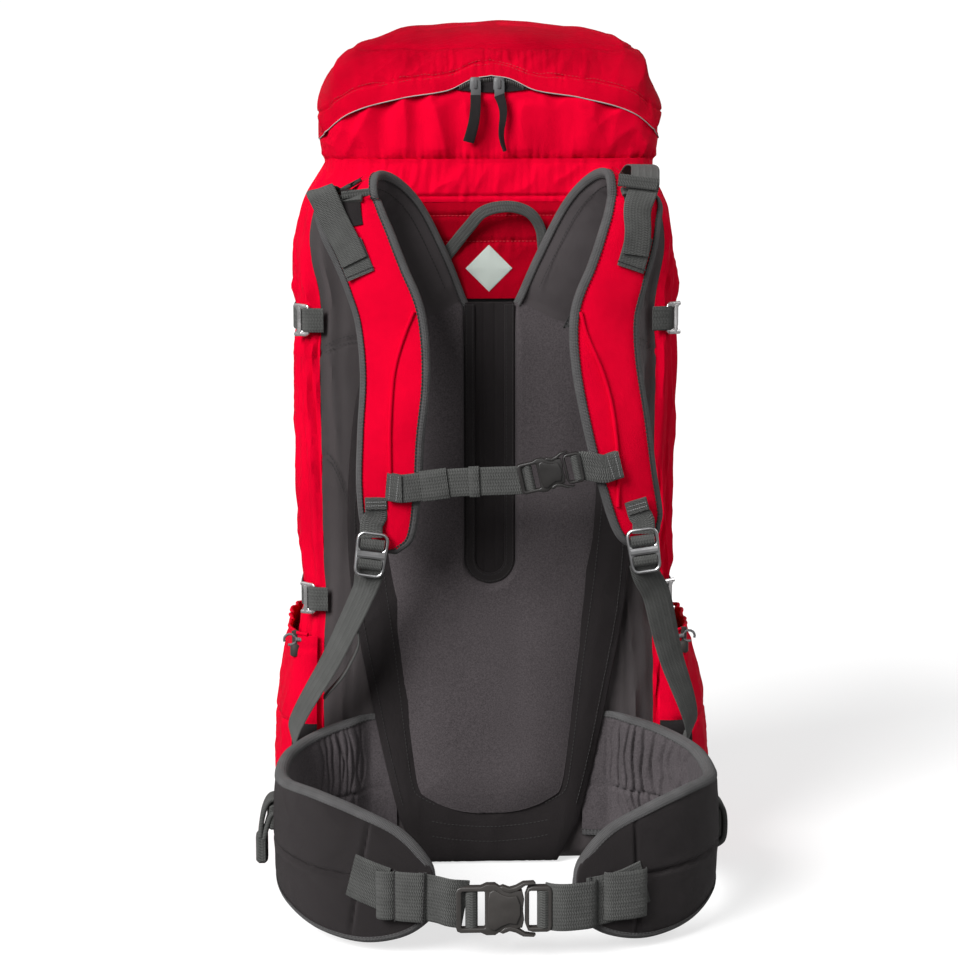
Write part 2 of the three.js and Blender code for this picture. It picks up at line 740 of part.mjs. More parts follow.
function addStrap(side) {
  const last = STRAPS[side].length - 1;
  const stations = steps(STRAP_STATIONS).map((share) => strapStation(side, share * last));
  add(`shoulder_strap_${side}`, sided(side, sweep(stations, PADDED_SECTION)), 'red');

  const lifter = LIFTERS[side];
  const path = [
    ...lifter.free.map(([across, out, z]) => at(across, out, z)),
    ...lifter.laid.map(({ z, share }) => onStrap(side, strapPlace(side, z), share, WEB_LIFT + 2.6)),
  ];
  const pivot = at(130, 30, 585);
  add(`lifter_web_${side}`, sided(side, webbing(path, WEB, 26, { from: pivot })), 'web');
  const { place, share, lift, width, height } = LIFTER_LOCK;
  const { side: neck, face } = strapStation(side, place);
  const spot = onStrap(side, place, share, lift);
  const lock = ladderLock(width, height, spot, neck, face.clone().cross(neck));
  add(`lifter_lock_${side}`, sided(side, lock), 'plastic', { rough: 0.5 });

  addStrapEnd(side);
}

// A frame with two slots, lying across the axes given with its middle at a point
function ladderLock(width, height, middle, right, up) {
  const shape = roundedBox(new THREE.Shape(), -width / 2, -height / 2, width / 2, height / 2, 2.5);
  const bar = height * 0.16;
  const slotHigh = (height - 3 * bar) / 2;
  const slotEnd = width / 2 - 2.5;
  for (const low of [-height / 2 + bar, bar / 2]) {
    shape.holes.push(roundedBox(new THREE.Path(), -slotEnd, low, slotEnd, low + slotHigh, 0.8));
  }
  return plate(shape, 3.4, 0.6, middle, right, up);
}

function addStrapEnd(side) {
  const { tabTop, tabShare, lock, foot } = STRAP_ENDS[side];
  const [across, out, z] = lock;
  const place = strapPlace(side, tabTop);
  const tab = [
    onStrap(side, place, tabShare, WEB_LIFT + 0.2),
    onStrap(side, place + 0.35, tabShare, WEB_LIFT + 2),
    at(across, out + 1.5, z + LOCK.height / 2 + 7),
  ];
  add(`strap_tab_${side}`, sided(side, webbing(tab, LOCK_TAB, 6, { to: TO_WEARER })), 'web');
  const frame = ladderLock(LOCK.width, LOCK.height, at(across, out, z), RIGHT, UP);
  add(`strap_lock_${side}`, sided(side, frame), 'metal', { rough: 0.35, metal: 0.6 });
  const start = at(across, out + 1.7, z - LOCK.height / 2 - 1.2);
  const sewn = [FOOT.high, FOOT.low].map((height) => bagPoint(FOOT.angle, height, -WEB_LIFT - 0.9));
  const below = at(across + 0.6, out + 1.2, z - LOCK.height / 2 - 8);
  const path = [start, below, ...foot.map((p) => at(...p)), ...sewn];
  const inside = at(110, -90, 180);
  add(`lower_web_${side}`, sided(side, webbing(path, WEB, 26, { from: inside })), 'web');
}

// Buckles: a socket with the prong's two arms in its sides

function buckle(name, length, height, thick, middle, right) {
  const half = height / 2;
  const end = length / 2;
  const join = length * 0.14;
  const armLow = half * 0.6;
  const armEnd = -length * 0.16;
  const socket = shapeOf([
    [-end, -half * 0.86], [-end + 3, -half], [armEnd, -half], [armEnd, -armLow], [join, -armLow],
    [join, armLow], [armEnd, armLow], [armEnd, half], [-end + 3, half], [-end, half * 0.86],
  ]);
  const slotHalf = half * 0.78;
  const slotWide = length * 0.07;
  socket.holes.push(roundedBox(new THREE.Path(), -end + 4, -slotHalf, -end + 4 + slotWide, slotHalf, 1));
  const space = 0.4;
  const prong = shapeOf([
    [end, half * 0.86], [end - 3, half], [armEnd + 3, half * 0.97], [armEnd + space, half * 0.8],
    [armEnd + space, armLow + space], [join + space, armLow + space], [join + space, -armLow - space],
    [armEnd + space, -armLow - space], [armEnd + space, -half * 0.8], [armEnd + 3, -half * 0.97],
    [end - 3, -half], [end, -half * 0.86],
  ]);
  prong.holes.push(roundedBox(new THREE.Path(), end - 4 - slotWide, -slotHalf, end - 4, slotHalf, 1));
  const socketPlate = plate(socket, thick, 0.8, middle, right, UP);
  add(`${name}_socket`, socketPlate, 'plastic', { rough: 0.5 });
  const prongMiddle = middle.clone().addScaledVector(TO_WEARER, thick * 0.05);
  const prongPlate = plate(prong, thick * 0.9, 0.8, prongMiddle, right, UP);
  add(`${name}_prong`, prongPlate, 'plastic', { rough: 0.5 });
}

function addSternum() {
  const { length, height, thick, across, out, z, slope } = STERNUM;
  const middle = at(across, out, z);
  const right = new THREE.Vector3(1, 0, slope).normalize();
  buckle('sternum', length, height, thick, middle, right);
  const reach = length / 2 + 0.7;
  const face = middle.clone().addScaledVector(TO_WEARER, thick / 2);
  const endAt = (shift) => face.clone().addScaledVector(right, shift);

  const leftPlace = strapPlace('left', STERNUM_ENDS.left);
  const onLeft = (share) => onStrap('left', leftPlace, share, WEB_LIFT + 2.2).multiply(TO_LEFT);
  const leftPath = [onLeft(-0.4), onLeft(0.4), at(-40, out, 369), at(-5, out + 4, 371), endAt(-reach)];
  add('sternum_web_left', webbing(leftPath, WEB, 16, { to: TO_WEARER }), 'web');

  const rightPlace = strapPlace('right', STERNUM_ENDS.right);
  const onRight = (share, more) => onStrap('right', rightPlace, share, WEB_LIFT + 1.2 + more);
  const rightPath = [endAt(reach), onRight(0.55, 1.5), onRight(0.1, 0), onRight(-0.3, 0)];
  add('sternum_web_right', webbing(rightPath, WEB, 8, { to: TO_WEARER }), 'web');
}

// Hip belt

function wingStation(place) {
  const row = rowAt(WING, place);
  const step = 0.02;
  const near = (shift) => rowAt(WING, Math.min(Math.max(place + shift, 0), WING.length - 1));
  const before = near(-step);
  const after = near(step);
  const along = at(after.across, after.out, 0).sub(at(before.across, before.out, 0)).normalize();
  return { row, face: new THREE.Vector3(-along.y, along.x, 0) };
}

function wingPoint(place, share, lift) {
  const { row, face } = wingStation(place);
  const fill = (1 - Math.abs(2 * share - 1) ** 5) ** 0.5;
  const thick = 4 + (WING_THICK - 4) * fill;
  const spot = at(row.across, row.out, mix(row.low, row.high, share));
  return spot.addScaledVector(face, Math.sign(lift) * (thick / 2) + lift);
}

function wingRoot(share) {
  const z = mix(WING[0].low, WING[0].high, share);
  const edge = lookUp(BORDER, 'z', 'half', z) + 0.7;
  return solve((place) => rowAt(WING, place).across - edge, 0, 1.5);
}

function addWing(side) {
  const last = WING.length - 1;
  const face = (lift) => (u, v) => wingPoint(mix(wingRoot(v), last, u), v, lift);
  const wing = sheet(face(1e-6), face(-1e-6), steps(20), steps(6));
  add(`hip_wing_${side}`, sided(side, wing), 'black');

  // webbing loop that stands off the belt's side
  const { deep, low, high, out, wall, radius, lift } = HIP_LOOP;
  const ring = roundedBox(new THREE.Shape(), 0, low, deep, high, radius);
  const inner = radius - wall / 2;
  ring.holes.push(roundedBox(new THREE.Path(), wall, low + wall, deep - wall, high - wall, inner));
  const loop = plate(ring, WEB, 0, at(0, out - WEB, 0), RIGHT, UP, { curve: 2 });
  loop.translate(wingPoint(4, 0.5, lift).x, 0, 0);
  add(`hip_loop_${side}`, sided(side, loop), 'web');
}

function addHipWeb(side) {
  const { length, thick, across, out, z } = HIP_BUCKLE;
  const end = at(length / 2 + SIDES[side] * across + 0.7, out + thick / 2, z);
  const laid = (place, share) => wingPoint(place, share, WEB_THICK / 2 + 1.1);
  const level = end.clone().add(new THREE.Vector3(14, 0, 0));
  const path = [laid(6.8, 0.54), laid(7.4, 0.5), laid(8, 0.48), laid(8.5, 0.46), level, end];
  const axis = at(60, 170, 0);
  add(`hip_web_${side}`, sided(side, webbing(path, HIP_WEB, 16, { axis })), 'web');
}

function addBelt() {
  for (const side of Object.keys(SIDES)) {
    addWing(side);
    addHipWeb(side);
  }
  const { length, height, thick, across, out, z } = HIP_BUCKLE;
  buckle('hip', length, height, thick, at(across, out, z), RIGHT);
}

// Side pockets, compression straps and their hooks

function pocketOff(angle, z) {
  const { back, front } = POCKET_ANGLES;
  const share = (angle - back) / (front - back);
  const swell = Math.sin(Math.PI * Math.min(Math.max(share, 0), 1)) ** 0.5;
  return POCKET_SEAT + (lookUp(POCKET, 'z', 'off', z) - POCKET_SEAT) * swell;
}

function addPocket(side) {
  const low = POCKET[0].z;
  const high = POCKET[POCKET.length - 1].z;
  const face = (lift) => (u, v) => {
    const angle = mix(POCKET_ANGLES.back, POCKET_ANGLES.front, u);
    const z = mix(low, high, v);
    return bagPoint(angle, z, -pocketOff(angle, z) - lift);
  };
  const pocket = sheet(face(WALL), face(0), steps(14), POCKET_SHARES);
  add(`side_pocket_${side}`, sided(side, pocket), 'red');

  const { half, tall, thick, z, lift, turn } = POCKET_LOCK;
  const spot = bagPoint(POCKET_ANGLES.back + turn, z, -lift);
  const barrel = roundedBox(new THREE.Shape(), -half, -tall, half, tall, half * 0.67);
  const lock = plate(barrel, thick, 2, spot, new THREE.Vector3(0.8, -0.6, 0), UP, { curve: 2 });
  add(`pocket_lock_${side}`, sided(side, lock), 'plastic', { rough: 0.5 });
}

function addSideWeb(side, level) {
  const z = SIDE_WEBS[level];
  const from = -backSeam - 0.12;
  const to = frontSeam + 0.12;
  const face = (lift) => (u, v) => bagPoint(mix(from, to, u), z + (v - 0.5) * SIDE_WEB, -lift);
  const web = sheet(face(WEB_THICK + 0.7), face(0.7), steps(14), steps(2));
  add(`side_web_${level}_${side}`, sided(side, web), 'web');

  const angle = -backSeam + 0.22;
  const spot = bagPoint(angle, z, -WEB_THICK - 1.4);
  const ahead = bagPoint(angle + 0.1, z, 0).sub(bagPoint(angle - 0.1, z, 0));
  const { half, thick, slotNear, slotFar } = HOOK;
  const shape = roundedBox(new THREE.Shape(), -half, -half, half, half, half / 4);
  shape.holes.push(roundedBox(new THREE.Path(), -slotFar, -slotFar, -slotNear, slotFar, 1));
  shape.holes.push(roundedBox(new THREE.Path(), slotNear, -slotFar, slotFar, slotFar, 1));
  const hook = plate(shape, thick, 0.6, spot, ahead, UP);
  add(`side_hook_${level}_${side}`, sided(side, hook), 'metal', { rough: 0.25, metal: 1 });
}

addBag();
addLid();
addBackPads();
addHandle();
addSternum();
addBelt();
for (const side of Object.keys(SIDES)) {
  addStrap(side);
  addPocket(side);
  for (const level of Object.keys(SIDE_WEBS)) addSideWeb(side, level);
}

export default pack;
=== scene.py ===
import math

import bmesh
import bpy
import numpy as np
from mathutils import Matrix, Vector


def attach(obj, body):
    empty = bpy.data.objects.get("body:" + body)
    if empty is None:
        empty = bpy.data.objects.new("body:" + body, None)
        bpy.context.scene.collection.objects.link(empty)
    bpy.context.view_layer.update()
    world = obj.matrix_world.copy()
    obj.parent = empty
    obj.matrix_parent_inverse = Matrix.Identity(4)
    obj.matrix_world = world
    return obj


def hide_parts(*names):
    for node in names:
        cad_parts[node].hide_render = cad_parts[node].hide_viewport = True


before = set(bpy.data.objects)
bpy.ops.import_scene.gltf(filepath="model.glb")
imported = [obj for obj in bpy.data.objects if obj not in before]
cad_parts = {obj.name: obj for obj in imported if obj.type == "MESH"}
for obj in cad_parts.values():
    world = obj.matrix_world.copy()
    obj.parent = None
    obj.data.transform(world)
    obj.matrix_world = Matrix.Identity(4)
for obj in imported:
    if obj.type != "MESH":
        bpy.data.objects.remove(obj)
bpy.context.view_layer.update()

# Shapes are worked out in millimetres in the part's frame: +Z up, the wearer at -Y, left at -X.

MM = 0.001
BODY = "root"
SIDES = {"left": -1.0, "right": 1.0}

# Driving sizes
BACK = -115.0  # Y of the flat back
WALL = 1.6
WEB = 25.0
HIP_WEB = 40.0
SIDE_WEB = 20.0
TAB_WEB = 20.0  # at the straps' tips and under the load lifters
TAIL_WEB = 7.0
WEB_THICK = 1.7
WEB_STEP = 3.5  # spacing of the places along webbing
STERNUM_BUCKLE = (56.0, 30.0, 8.0)  # length, height and thickness
HIP_BUCKLE = (79.0, 43.0, 11.0)
STRAP_LOCK = (29.0, 41.0, 4.2)  # width, height and thickness
LIFTER_LOCK = (28.0, 14.0, 3.6)
STERNUM_LEVELS = {"left": 367.0, "right": 387.0}  # heights of the sternum strap's ends
STRAP_THICK = 12.0
STRAP_TURN = 16.0  # degrees that a strap faces outward where it falls
WING_THICK = 14.0
BORDER_THICK = 8.0
PAD_THICK = 10.0
BINDING = 5.2  # width of the woven tape that wraps the padded edges
BINDING_THICK = 0.9
LAP = 4.0  # the lid's skirt sits this far inside its rain flap
LID_SHIFT = 3.0  # the stuffed lid leans this far to the right
BACK_POWER = 6.0
FRONT_POWER = 3.0
BACK_SEAM = -0.5995  # seams of the bag's sides, as directions from its middle
FRONT_SEAM = 0.488
CROWN_SEAM = 745.0  # height of the seam round the lid's crown
YOKE_ROWS = (596.0, 573.0)  # heights of the yoke's stitched rows
POCKET_SEAM = 130.0  # height of the seam over a pocket's black gusset
HINGE_FOOT = 608.0  # heights of the collar between the bag and the lid
HINGE_TOP = 646.0
ZIP_FOOT = 704.6
SLIDER = 712.0  # height of the zip's sliders
PULL_TOP = 702.0
PATCH_HALF = 21.0  # from the middle of the yoke's patch to its corners
PATCH_HEIGHT = 549.0
RIM_FOLD = {"from": 618.0, "over": 20.0, "narrows": 0.035, "rises": 5.5}  # the bag's rim inside the lid

# Camera, found from the photo: metres and degrees
CAMERA = {"range": 2.5, "lift": 8.0, "turn": 2.6, "roll": -0.12, "lens": 103.9}
AIM = Vector((-0.0091, -0.115, 0.358))
SUN = {"energy": 5.9, "spread": 32.0, "toward": (0.58, 0.61, -0.54)}
# Lamps: name, place, size and power
LAMPS = (("front", (0.9, -3.0, 1.3), 1.6, 13.0), ("rim", (2.4, 0.2, 1.4), 1.5, 19.0))
LAMP_AIM = Vector((0, -0.1, 0.4))
FLOOR_HALF = 30.0
FLOOR_GLOW = 0.66
SKY_LIGHT = 0.25  # strength of the sky as a light, and as the camera sees it
SKY_SEEN = 1.05


def table(columns, *rows):
    """Columns of a short table as arrays, with the row's number as one more column."""
    names = columns.split()
    made = {name: np.array([row[i] for row in rows], float) for i, name in enumerate(names)}
    made["place"] = np.arange(len(rows), dtype=float)
    return made


# Outline of the bag at each height: half width, depth to the back and to the front
BAG = table(
    "z half back front",
    (0, 150, 99, 94),
    (8, 166, 110, 107),
    (30, 175, 115, 116),
    (100, 178, 115, 123),
    (260, 174, 115, 128),
    (390, 176, 115, 131),
    (510, 178, 115, 130),
    (560, 176, 115, 126),
    (605, 167, 113, 117),
    (638, 150, 110, 104),
)
MOUTH = BAG["z"][-1]
# Outline of the lid from its hem to its top
LID = table(
    "z half back front",
    (643, 152, 114, 120),
    (658, 155, 116, 128),
    (680, 157, 116, 133),
    (700, 155, 114, 133),
    (720, 149, 107, 129),
    (738, 140, 95, 120),
    (750, 127, 79, 105),
    (760, 103, 57, 80),
    (767, 66, 32, 48),
    (770, 24, 12, 18),
    (770.4, 0.6, 0.4, 0.5),
)
LID_HEM = LID["z"][0]
# Lower edge of the lid's rain flap on the wearer's side, from the middle outward
FLAP_EDGE = table("across z", (0, 720), (18, 717), (40, 707), (82, 700), (128, 686), (157, 663))
# Half widths of the back pads and the yoke at each height
BORDER = table(
    "z half",
    (2, 62),
    (24, 74),
    (47, 84),
    (140, 105),
    (275, 127),
    (400, 124),
    (470, 108),
    (500, 80),
    (518, 40),
)
PAD = table(
    "z half",
    (49, 12),
    (51, 26),
    (56, 42),
    (62, 54),
    (69, 63.5),
    (94, 69),
    (190, 80),
    (286, 92),
    (360, 98),
    (450, 95),
    (485, 86),
    (498, 72),
    (511, 46),
    (519, 29),
)
CHANNEL = {"half": 23.0, "low": 264.0, "high": 519.0}
YOKE = table("z half", (522, 64), (600, 104), (614, 104))
# Shoulder straps from the back pad over the bend and down to the tip
STRAPS = {
    "left": table(
        "across out z tilt width",
        (47.5, 12, 515, 24, 54),
        (62, 13, 548, 24, 57),
        (82, 18, 589, 25, 57),
        (99, 30, 609, 30, 57),
        (116, 46, 617, 30, 57),
        (125, 60, 609, 25, 58),
        (121, 69, 593, 22, 59),
        (112, 75, 573, 20, 59),
        (100, 81, 543, 17, 59),
        (89, 86, 510, 9, 62),
        (85.5, 90, 462, 2, 61),
        (89.5, 88, 410, -3, 58.5),
        (91.5, 80, 360, -4, 57),
        (92, 70, 320, -4, 46),
        (92.5, 67, 305, -4, 20),
    ),
    "right": table(
        "across out z tilt width",
        (51, 12, 515, 27, 54),
        (67, 13, 548, 27, 57),
        (88, 18, 590, 28, 57),
        (104, 30, 611, 31, 57),
        (117, 46, 621, 30, 53),
        (124.5, 60, 612.5, 25, 50),
        (122.5, 69, 598.5, 22, 50),
        (117.5, 75, 577.5, 20, 54),
        (107.5, 81, 546, 16, 57),
        (97, 86, 512, 5, 62),
        (98, 90, 472, -6, 62),
        (107.5, 90, 418, -13, 60),
        (117.5, 84, 370, -16, 54),
        (128, 74, 330, -18, 47),
        (134, 70, 314, -18, 30),
    ),
}
STRAP_LAST = len(STRAPS["left"]["place"]) - 1
# Belt wing from the back pad round to its nose
WING = table(
    "across out low high",
    (84, 7.6, 26, 142),
    (120, 9, 24, 140),
    (155, 24, 22, 132),
    (180, 62, 24, 125),
    (187, 115, 26, 121),
    (179.5, 175, 21, 126),
    (154, 224, 12, 129),
    (118, 254, 9, 121),
    (84, 268, 17, 106),
    (62, 274, 33, 82),
    (57, 275.2, 48, 64),
)
WING_LAST = len(WING["place"]) - 1
# Side pocket: how far it stands off the bag from its foot to its hem
POCKET = table("z off", (14, 0.8), (30, 16), (62, 26), (98, 27), (150, 23), (190, 15), (212, 11))
POCKET_FOOT = POCKET["z"][0]
POCKET_TOP = POCKET["z"][-1]
POCKET_SPAN = (-0.585, 0.40)  # directions of its edges from the bag's middle
SIDE_LEVELS = {"upper": 502.0, "lower": 247.0}


# Numbers and points

OUTWARD = np.array([0.0, -1.0, 0.0])
RIGHTWARD = np.array([1.0, 0.0, 0.0])
UPWARD = np.array([0.0, 0.0, 1.0])
LEVEL = np.array([1.0, 1.0, 0.0])  # drops the height of places


def smooth(tab, column, where, key="z"):
    """A smooth value of a column where the key column has the values given."""
    keys = tab[key]
    values = tab[column]
    where = np.clip(where, keys[0], keys[-1])
    slopes = np.empty_like(values)
    slopes[1:-1] = (values[2:] - values[:-2]) / (keys[2:] - keys[:-2])
    slopes[0] = (values[1] - values[0]) / (keys[1] - keys[0])
    slopes[-1] = (values[-1] - values[-2]) / (keys[-1] - keys[-2])
    i = np.clip(np.searchsorted(keys, where, "right") - 1, 0, len(keys) - 2)
    span = keys[i + 1] - keys[i]
    t = (where - keys[i]) / span
    return (
        (2 * t**3 - 3 * t**2 + 1) * values[i]
        + (t**3 - 2 * t**2 + t) * span * slopes[i]
        + (3 * t**2 - 2 * t**3) * values[i + 1]
        + (t**3 - t**2) * span * slopes[i + 1]
    )


def at(across, out, z):
    """Places by their distance across, out from the flat back toward the wearer, and height."""
    return joined(across, BACK - np.asarray(out, float), z).astype(float)


def unit(vectors):
    return vectors / np.maximum(np.linalg.norm(vectors, axis=-1, keepdims=True), 1e-9)


def mirror(points, side):
    return points * np.array([SIDES[side], 1.0, 1.0])


def limited(x):
    """Values held between 0 and 1."""
    return np.clip(x, 0, 1)


def eased(x):
    """From 0 to 1 with soft ends."""
    t = limited(x)
    return t * t * (3 - 2 * t)


def joined(*columns):
    """Points or pairs from columns that are spread to one shape."""
    return np.stack(np.broadcast_arrays(*columns), -1)


def closed(grid):
    """A grid with its first column again after its last."""
    return np.concatenate([grid, grid[:, :1]], 1)


def averaged(vectors, reach=4):
    """Directions evened out over their neighbours along a line."""
    near = np.arange(len(vectors))[:, None] + np.arange(-reach, reach + 1)
    return unit(vectors[np.clip(near, 0, len(vectors) - 1)].mean(1))


def bell(x, width):
    return np.exp(-((x / width) ** 2))


def noise(x, y, seed):
    """Smooth noise from -1 to 1 with one hill or dip to each unit."""
    angles = np.random.default_rng(seed).uniform(0, 2 * np.pi, (97, 89))
    x, y = np.broadcast_arrays(np.asarray(x, float), np.asarray(y, float))
    left = np.floor(x).astype(int)
    low = np.floor(y).astype(int)
    fx = x - left
    fy = y - low
    ease_x = fx**3 * (fx * (6 * fx - 15) + 10)
    ease_y = fy**3 * (fy * (6 * fy - 15) + 10)

    def corner(dx, dy):
        angle = angles[(left + dx) % 97, (low + dy) % 89]
        return np.cos(angle) * (fx - dx) + np.sin(angle) * (fy - dy)

    bottom = corner(0, 0) * (1 - ease_x) + corner(1, 0) * ease_x
    top = corner(0, 1) * (1 - ease_x) + corner(1, 1) * ease_x
    return 1.6 * (bottom * (1 - ease_y) + top * ease_y)


def creases(u, v, long, wide, angle, seed):
    """Soft folds of cloth: ridges of a length and width that run at an angle to v, in degrees."""
    turn = math.radians(angle)
    along = v * math.cos(turn) + u * math.sin(turn)
    across = u * math.cos(turn) - v * math.sin(turn)
    across = across + 0.55 * wide * noise(along / long * 1.7, across / (2.5 * wide), seed + 1)
    hills = noise(across / wide, along / long, seed)
    return 1.0 - 2.2 * np.abs(hills) ** 0.8


def puckers(away, along, pitch, reach, seed):
    """Small gathers that run out from a seam: away is the distance from it."""
    wave = noise(along / pitch, away / (4.0 * reach) + 7.0, seed)
    return wave * np.exp(-np.maximum(away, 0) / reach)


def spaced(points, step):
    """A smooth curve through the points, with a place every step."""
    points = np.asarray(points, float)
    chords = np.linalg.norm(np.diff(points, axis=0), axis=1) ** 0.5
    tab = {"t": np.concatenate([[0.0], np.cumsum(chords)])}
    dense = np.linspace(0, tab["t"][-1], 40 * len(points))
    line = np.stack(
        [smooth({**tab, "v": points[:, i]}, "v", dense, "t") for i in range(3)], -1
    )
    lengths = run(line, 0)
    wanted = np.linspace(0, lengths[-1], max(4, int(round(lengths[-1] / step)) + 1))
    return np.stack([np.interp(wanted, lengths, line[:, i]) for i in range(3)], -1)


def tangents(points):
    return unit(np.gradient(points, axis=0))


def run(points, axis):
    """Distances along one axis of a grid of points, in millimetres."""
    steps = np.linalg.norm(np.diff(points, axis=axis), axis=-1)
    zero = np.zeros_like(np.take(steps, [0], axis=axis))
    return np.concatenate([zero, np.cumsum(steps, axis=axis)], axis=axis)


def normals(points, close=False):
    if close:
        wide = np.concatenate([points[:, -1:], points, points[:, :1]], 1)
        across = (wide[:, 2:] - wide[:, :-2]) / 2
    else:
        across = np.gradient(points, axis=1)
    return unit(np.cross(across, np.gradient(points, axis=0)))


# Meshes


class Shape:
    """Grids and polygons in millimetres that join into one mesh."""

    def __init__(self):
        self.points = []
        self.faces = []
        self.uvs = []
        self.slots = []
        self.count = 0

    def grid(self, points, uv=None, slot=0, close=False):
        rows, cols = points.shape[:2]
        ids = self.count + np.arange(rows * cols).reshape(rows, cols)
        if uv is None:
            uv = np.zeros((rows, cols + close, 2))
        if close:
            ids = closed(ids)

        def corners(a):
            return np.stack([a[:-1, :-1], a[:-1, 1:], a[1:, 1:], a[1:, :-1]], 2)

        quads = corners(ids).reshape(-1, 4)
        self.points.append(points.reshape(-1, 3))
        self.count += rows * cols
        self.faces += quads.tolist()
        self.uvs.append(corners(uv).reshape(-1, 2))
        self.slots += [slot] * len(quads)

    def polygon(self, ring):
        self.points.append(ring)
        self.faces.append(list(range(self.count, self.count + len(ring))))
        self.count += len(ring)
        self.uvs.append(np.zeros((len(ring), 2)))
        self.slots.append(0)

    def mesh(self, points, faces):
        self.points.append(points)
        self.faces += [[self.count + i for i in face] for face in faces]
        self.count += len(points)
        self.uvs.append(np.zeros((sum(len(face) for face in faces), 2)))
        self.slots += [0] * len(faces)

    def wall(self, outer, thick, uv, close=False):
        """A sheet with its outer face, an inner face and a rim."""
        self.shell(outer, outer - normals(outer, close) * thick, uv, close)

    def shell(self, outer, inner, uv, close=False, inside=0, rim=0):
        """Two faces and the rims that join them."""
        self.grid(outer, uv, 0, close)
        self.grid(inner, uv, inside, close)
        self.rims(outer, inner, uv, close, rim)

    def rims(self, outer, inner, uv, close=False, slot=0):
        for i in (0, -1):
            pair = np.stack([outer[i], inner[i]])
            self.grid(pair, np.stack([uv[i], uv[i]]), slot, close)
            if not close:
                self.grid(np.stack([outer[:, i], inner[:, i]]), np.stack([uv[:, i], uv[:, i]]), slot)

    def make(self, name, materials, slot, sharp=50.0, node=None):
        """Makes the piece, which stands for a node of the part where one is named."""
        mesh = bpy.data.meshes.new(name)
        mesh.from_pydata((np.concatenate(self.points) * MM).tolist(), [], self.faces)
        layer = mesh.uv_layers.new(name="cloth")
        layer.data.foreach_set("uv", (np.concatenate(self.uvs) * MM).ravel())
        mesh.polygons.foreach_set("material_index", self.slots)
        for material in materials:
            mesh.materials.append(material)
        work = bmesh.new()
        work.from_mesh(mesh)
        bmesh.ops.remove_doubles(work, verts=work.verts, dist=2e-6)
        bmesh.ops.recalc_face_normals(work, faces=work.faces)
        work.to_mesh(mesh)
        work.free()
        mesh.shade_smooth()
        mesh.set_sharp_from_angle(angle=math.radians(sharp))
        made = bpy.data.objects.new(name, mesh)
        bpy.context.scene.collection.objects.link(made)
        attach(made, BODY)
        if node:
            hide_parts(node)
        return made


def mesh_points(mesh):
    """The vertices of a mesh as rows."""
    found = np.empty(len(mesh.vertices) * 3)
    mesh.vertices.foreach_get("co", found)
    return found.reshape(-1, 3)


FLAT = np.array(
    [(-1, 0), (-0.97, 0.7), (-0.9, 1), (-0.45, 1), (0, 1), (0.45, 1), (0.9, 1), (0.97, 0.7)]
    + [(1, 0), (0.97, -0.7), (0.9, -1), (0.45, -1), (0, -1), (-0.45, -1), (-0.9, -1), (-0.97, -0.7)],
    float,
)
ROUND = np.array([(math.cos(a), math.sin(a)) for a in np.linspace(0, 2 * np.pi, 10, endpoint=False)])


def sweep(shape, line, side, face, half, rise, section=FLAT):
    """A section swept along a line, with closed ends."""
    half = np.broadcast_to(half, (len(line),))
    rise = np.broadcast_to(rise, (len(line),))
    side = np.broadcast_to(side, line.shape)
    face = np.broadcast_to(face, line.shape)
    rings = (
        line[:, None]
        + side[:, None] * (section[:, 0] * half[:, None])[..., None]
        + face[:, None] * (section[:, 1] * rise[:, None])[..., None]
    )
    along = run(line, 0)
    across = np.append(section[:, 0], section[0, 0])
    uv = joined(across * half[:, None], along[:, None])
    capped(shape, rings, uv)


def capped(shape, rings, uv):
    """A closed grid with a face over each end."""
    shape.grid(rings, uv, close=True)
    shape.polygon(rings[0])
    shape.polygon(rings[-1][::-1])


def tube(shape, points, radius):
    line = spaced(points, 2.0)
    along = tangents(line)
    guide = np.array([0.31, 0.83, 0.47])
    side = unit(np.cross(along, guide))
    sweep(shape, line, side, np.cross(side, along), radius, radius, ROUND)


def facing(line, look):
    """Side and face directions of webbing whose face looks a given way at each place."""
    along = tangents(line)
    side = unit(np.cross(along, look))
    return side, unit(np.cross(side, along))


# Materials


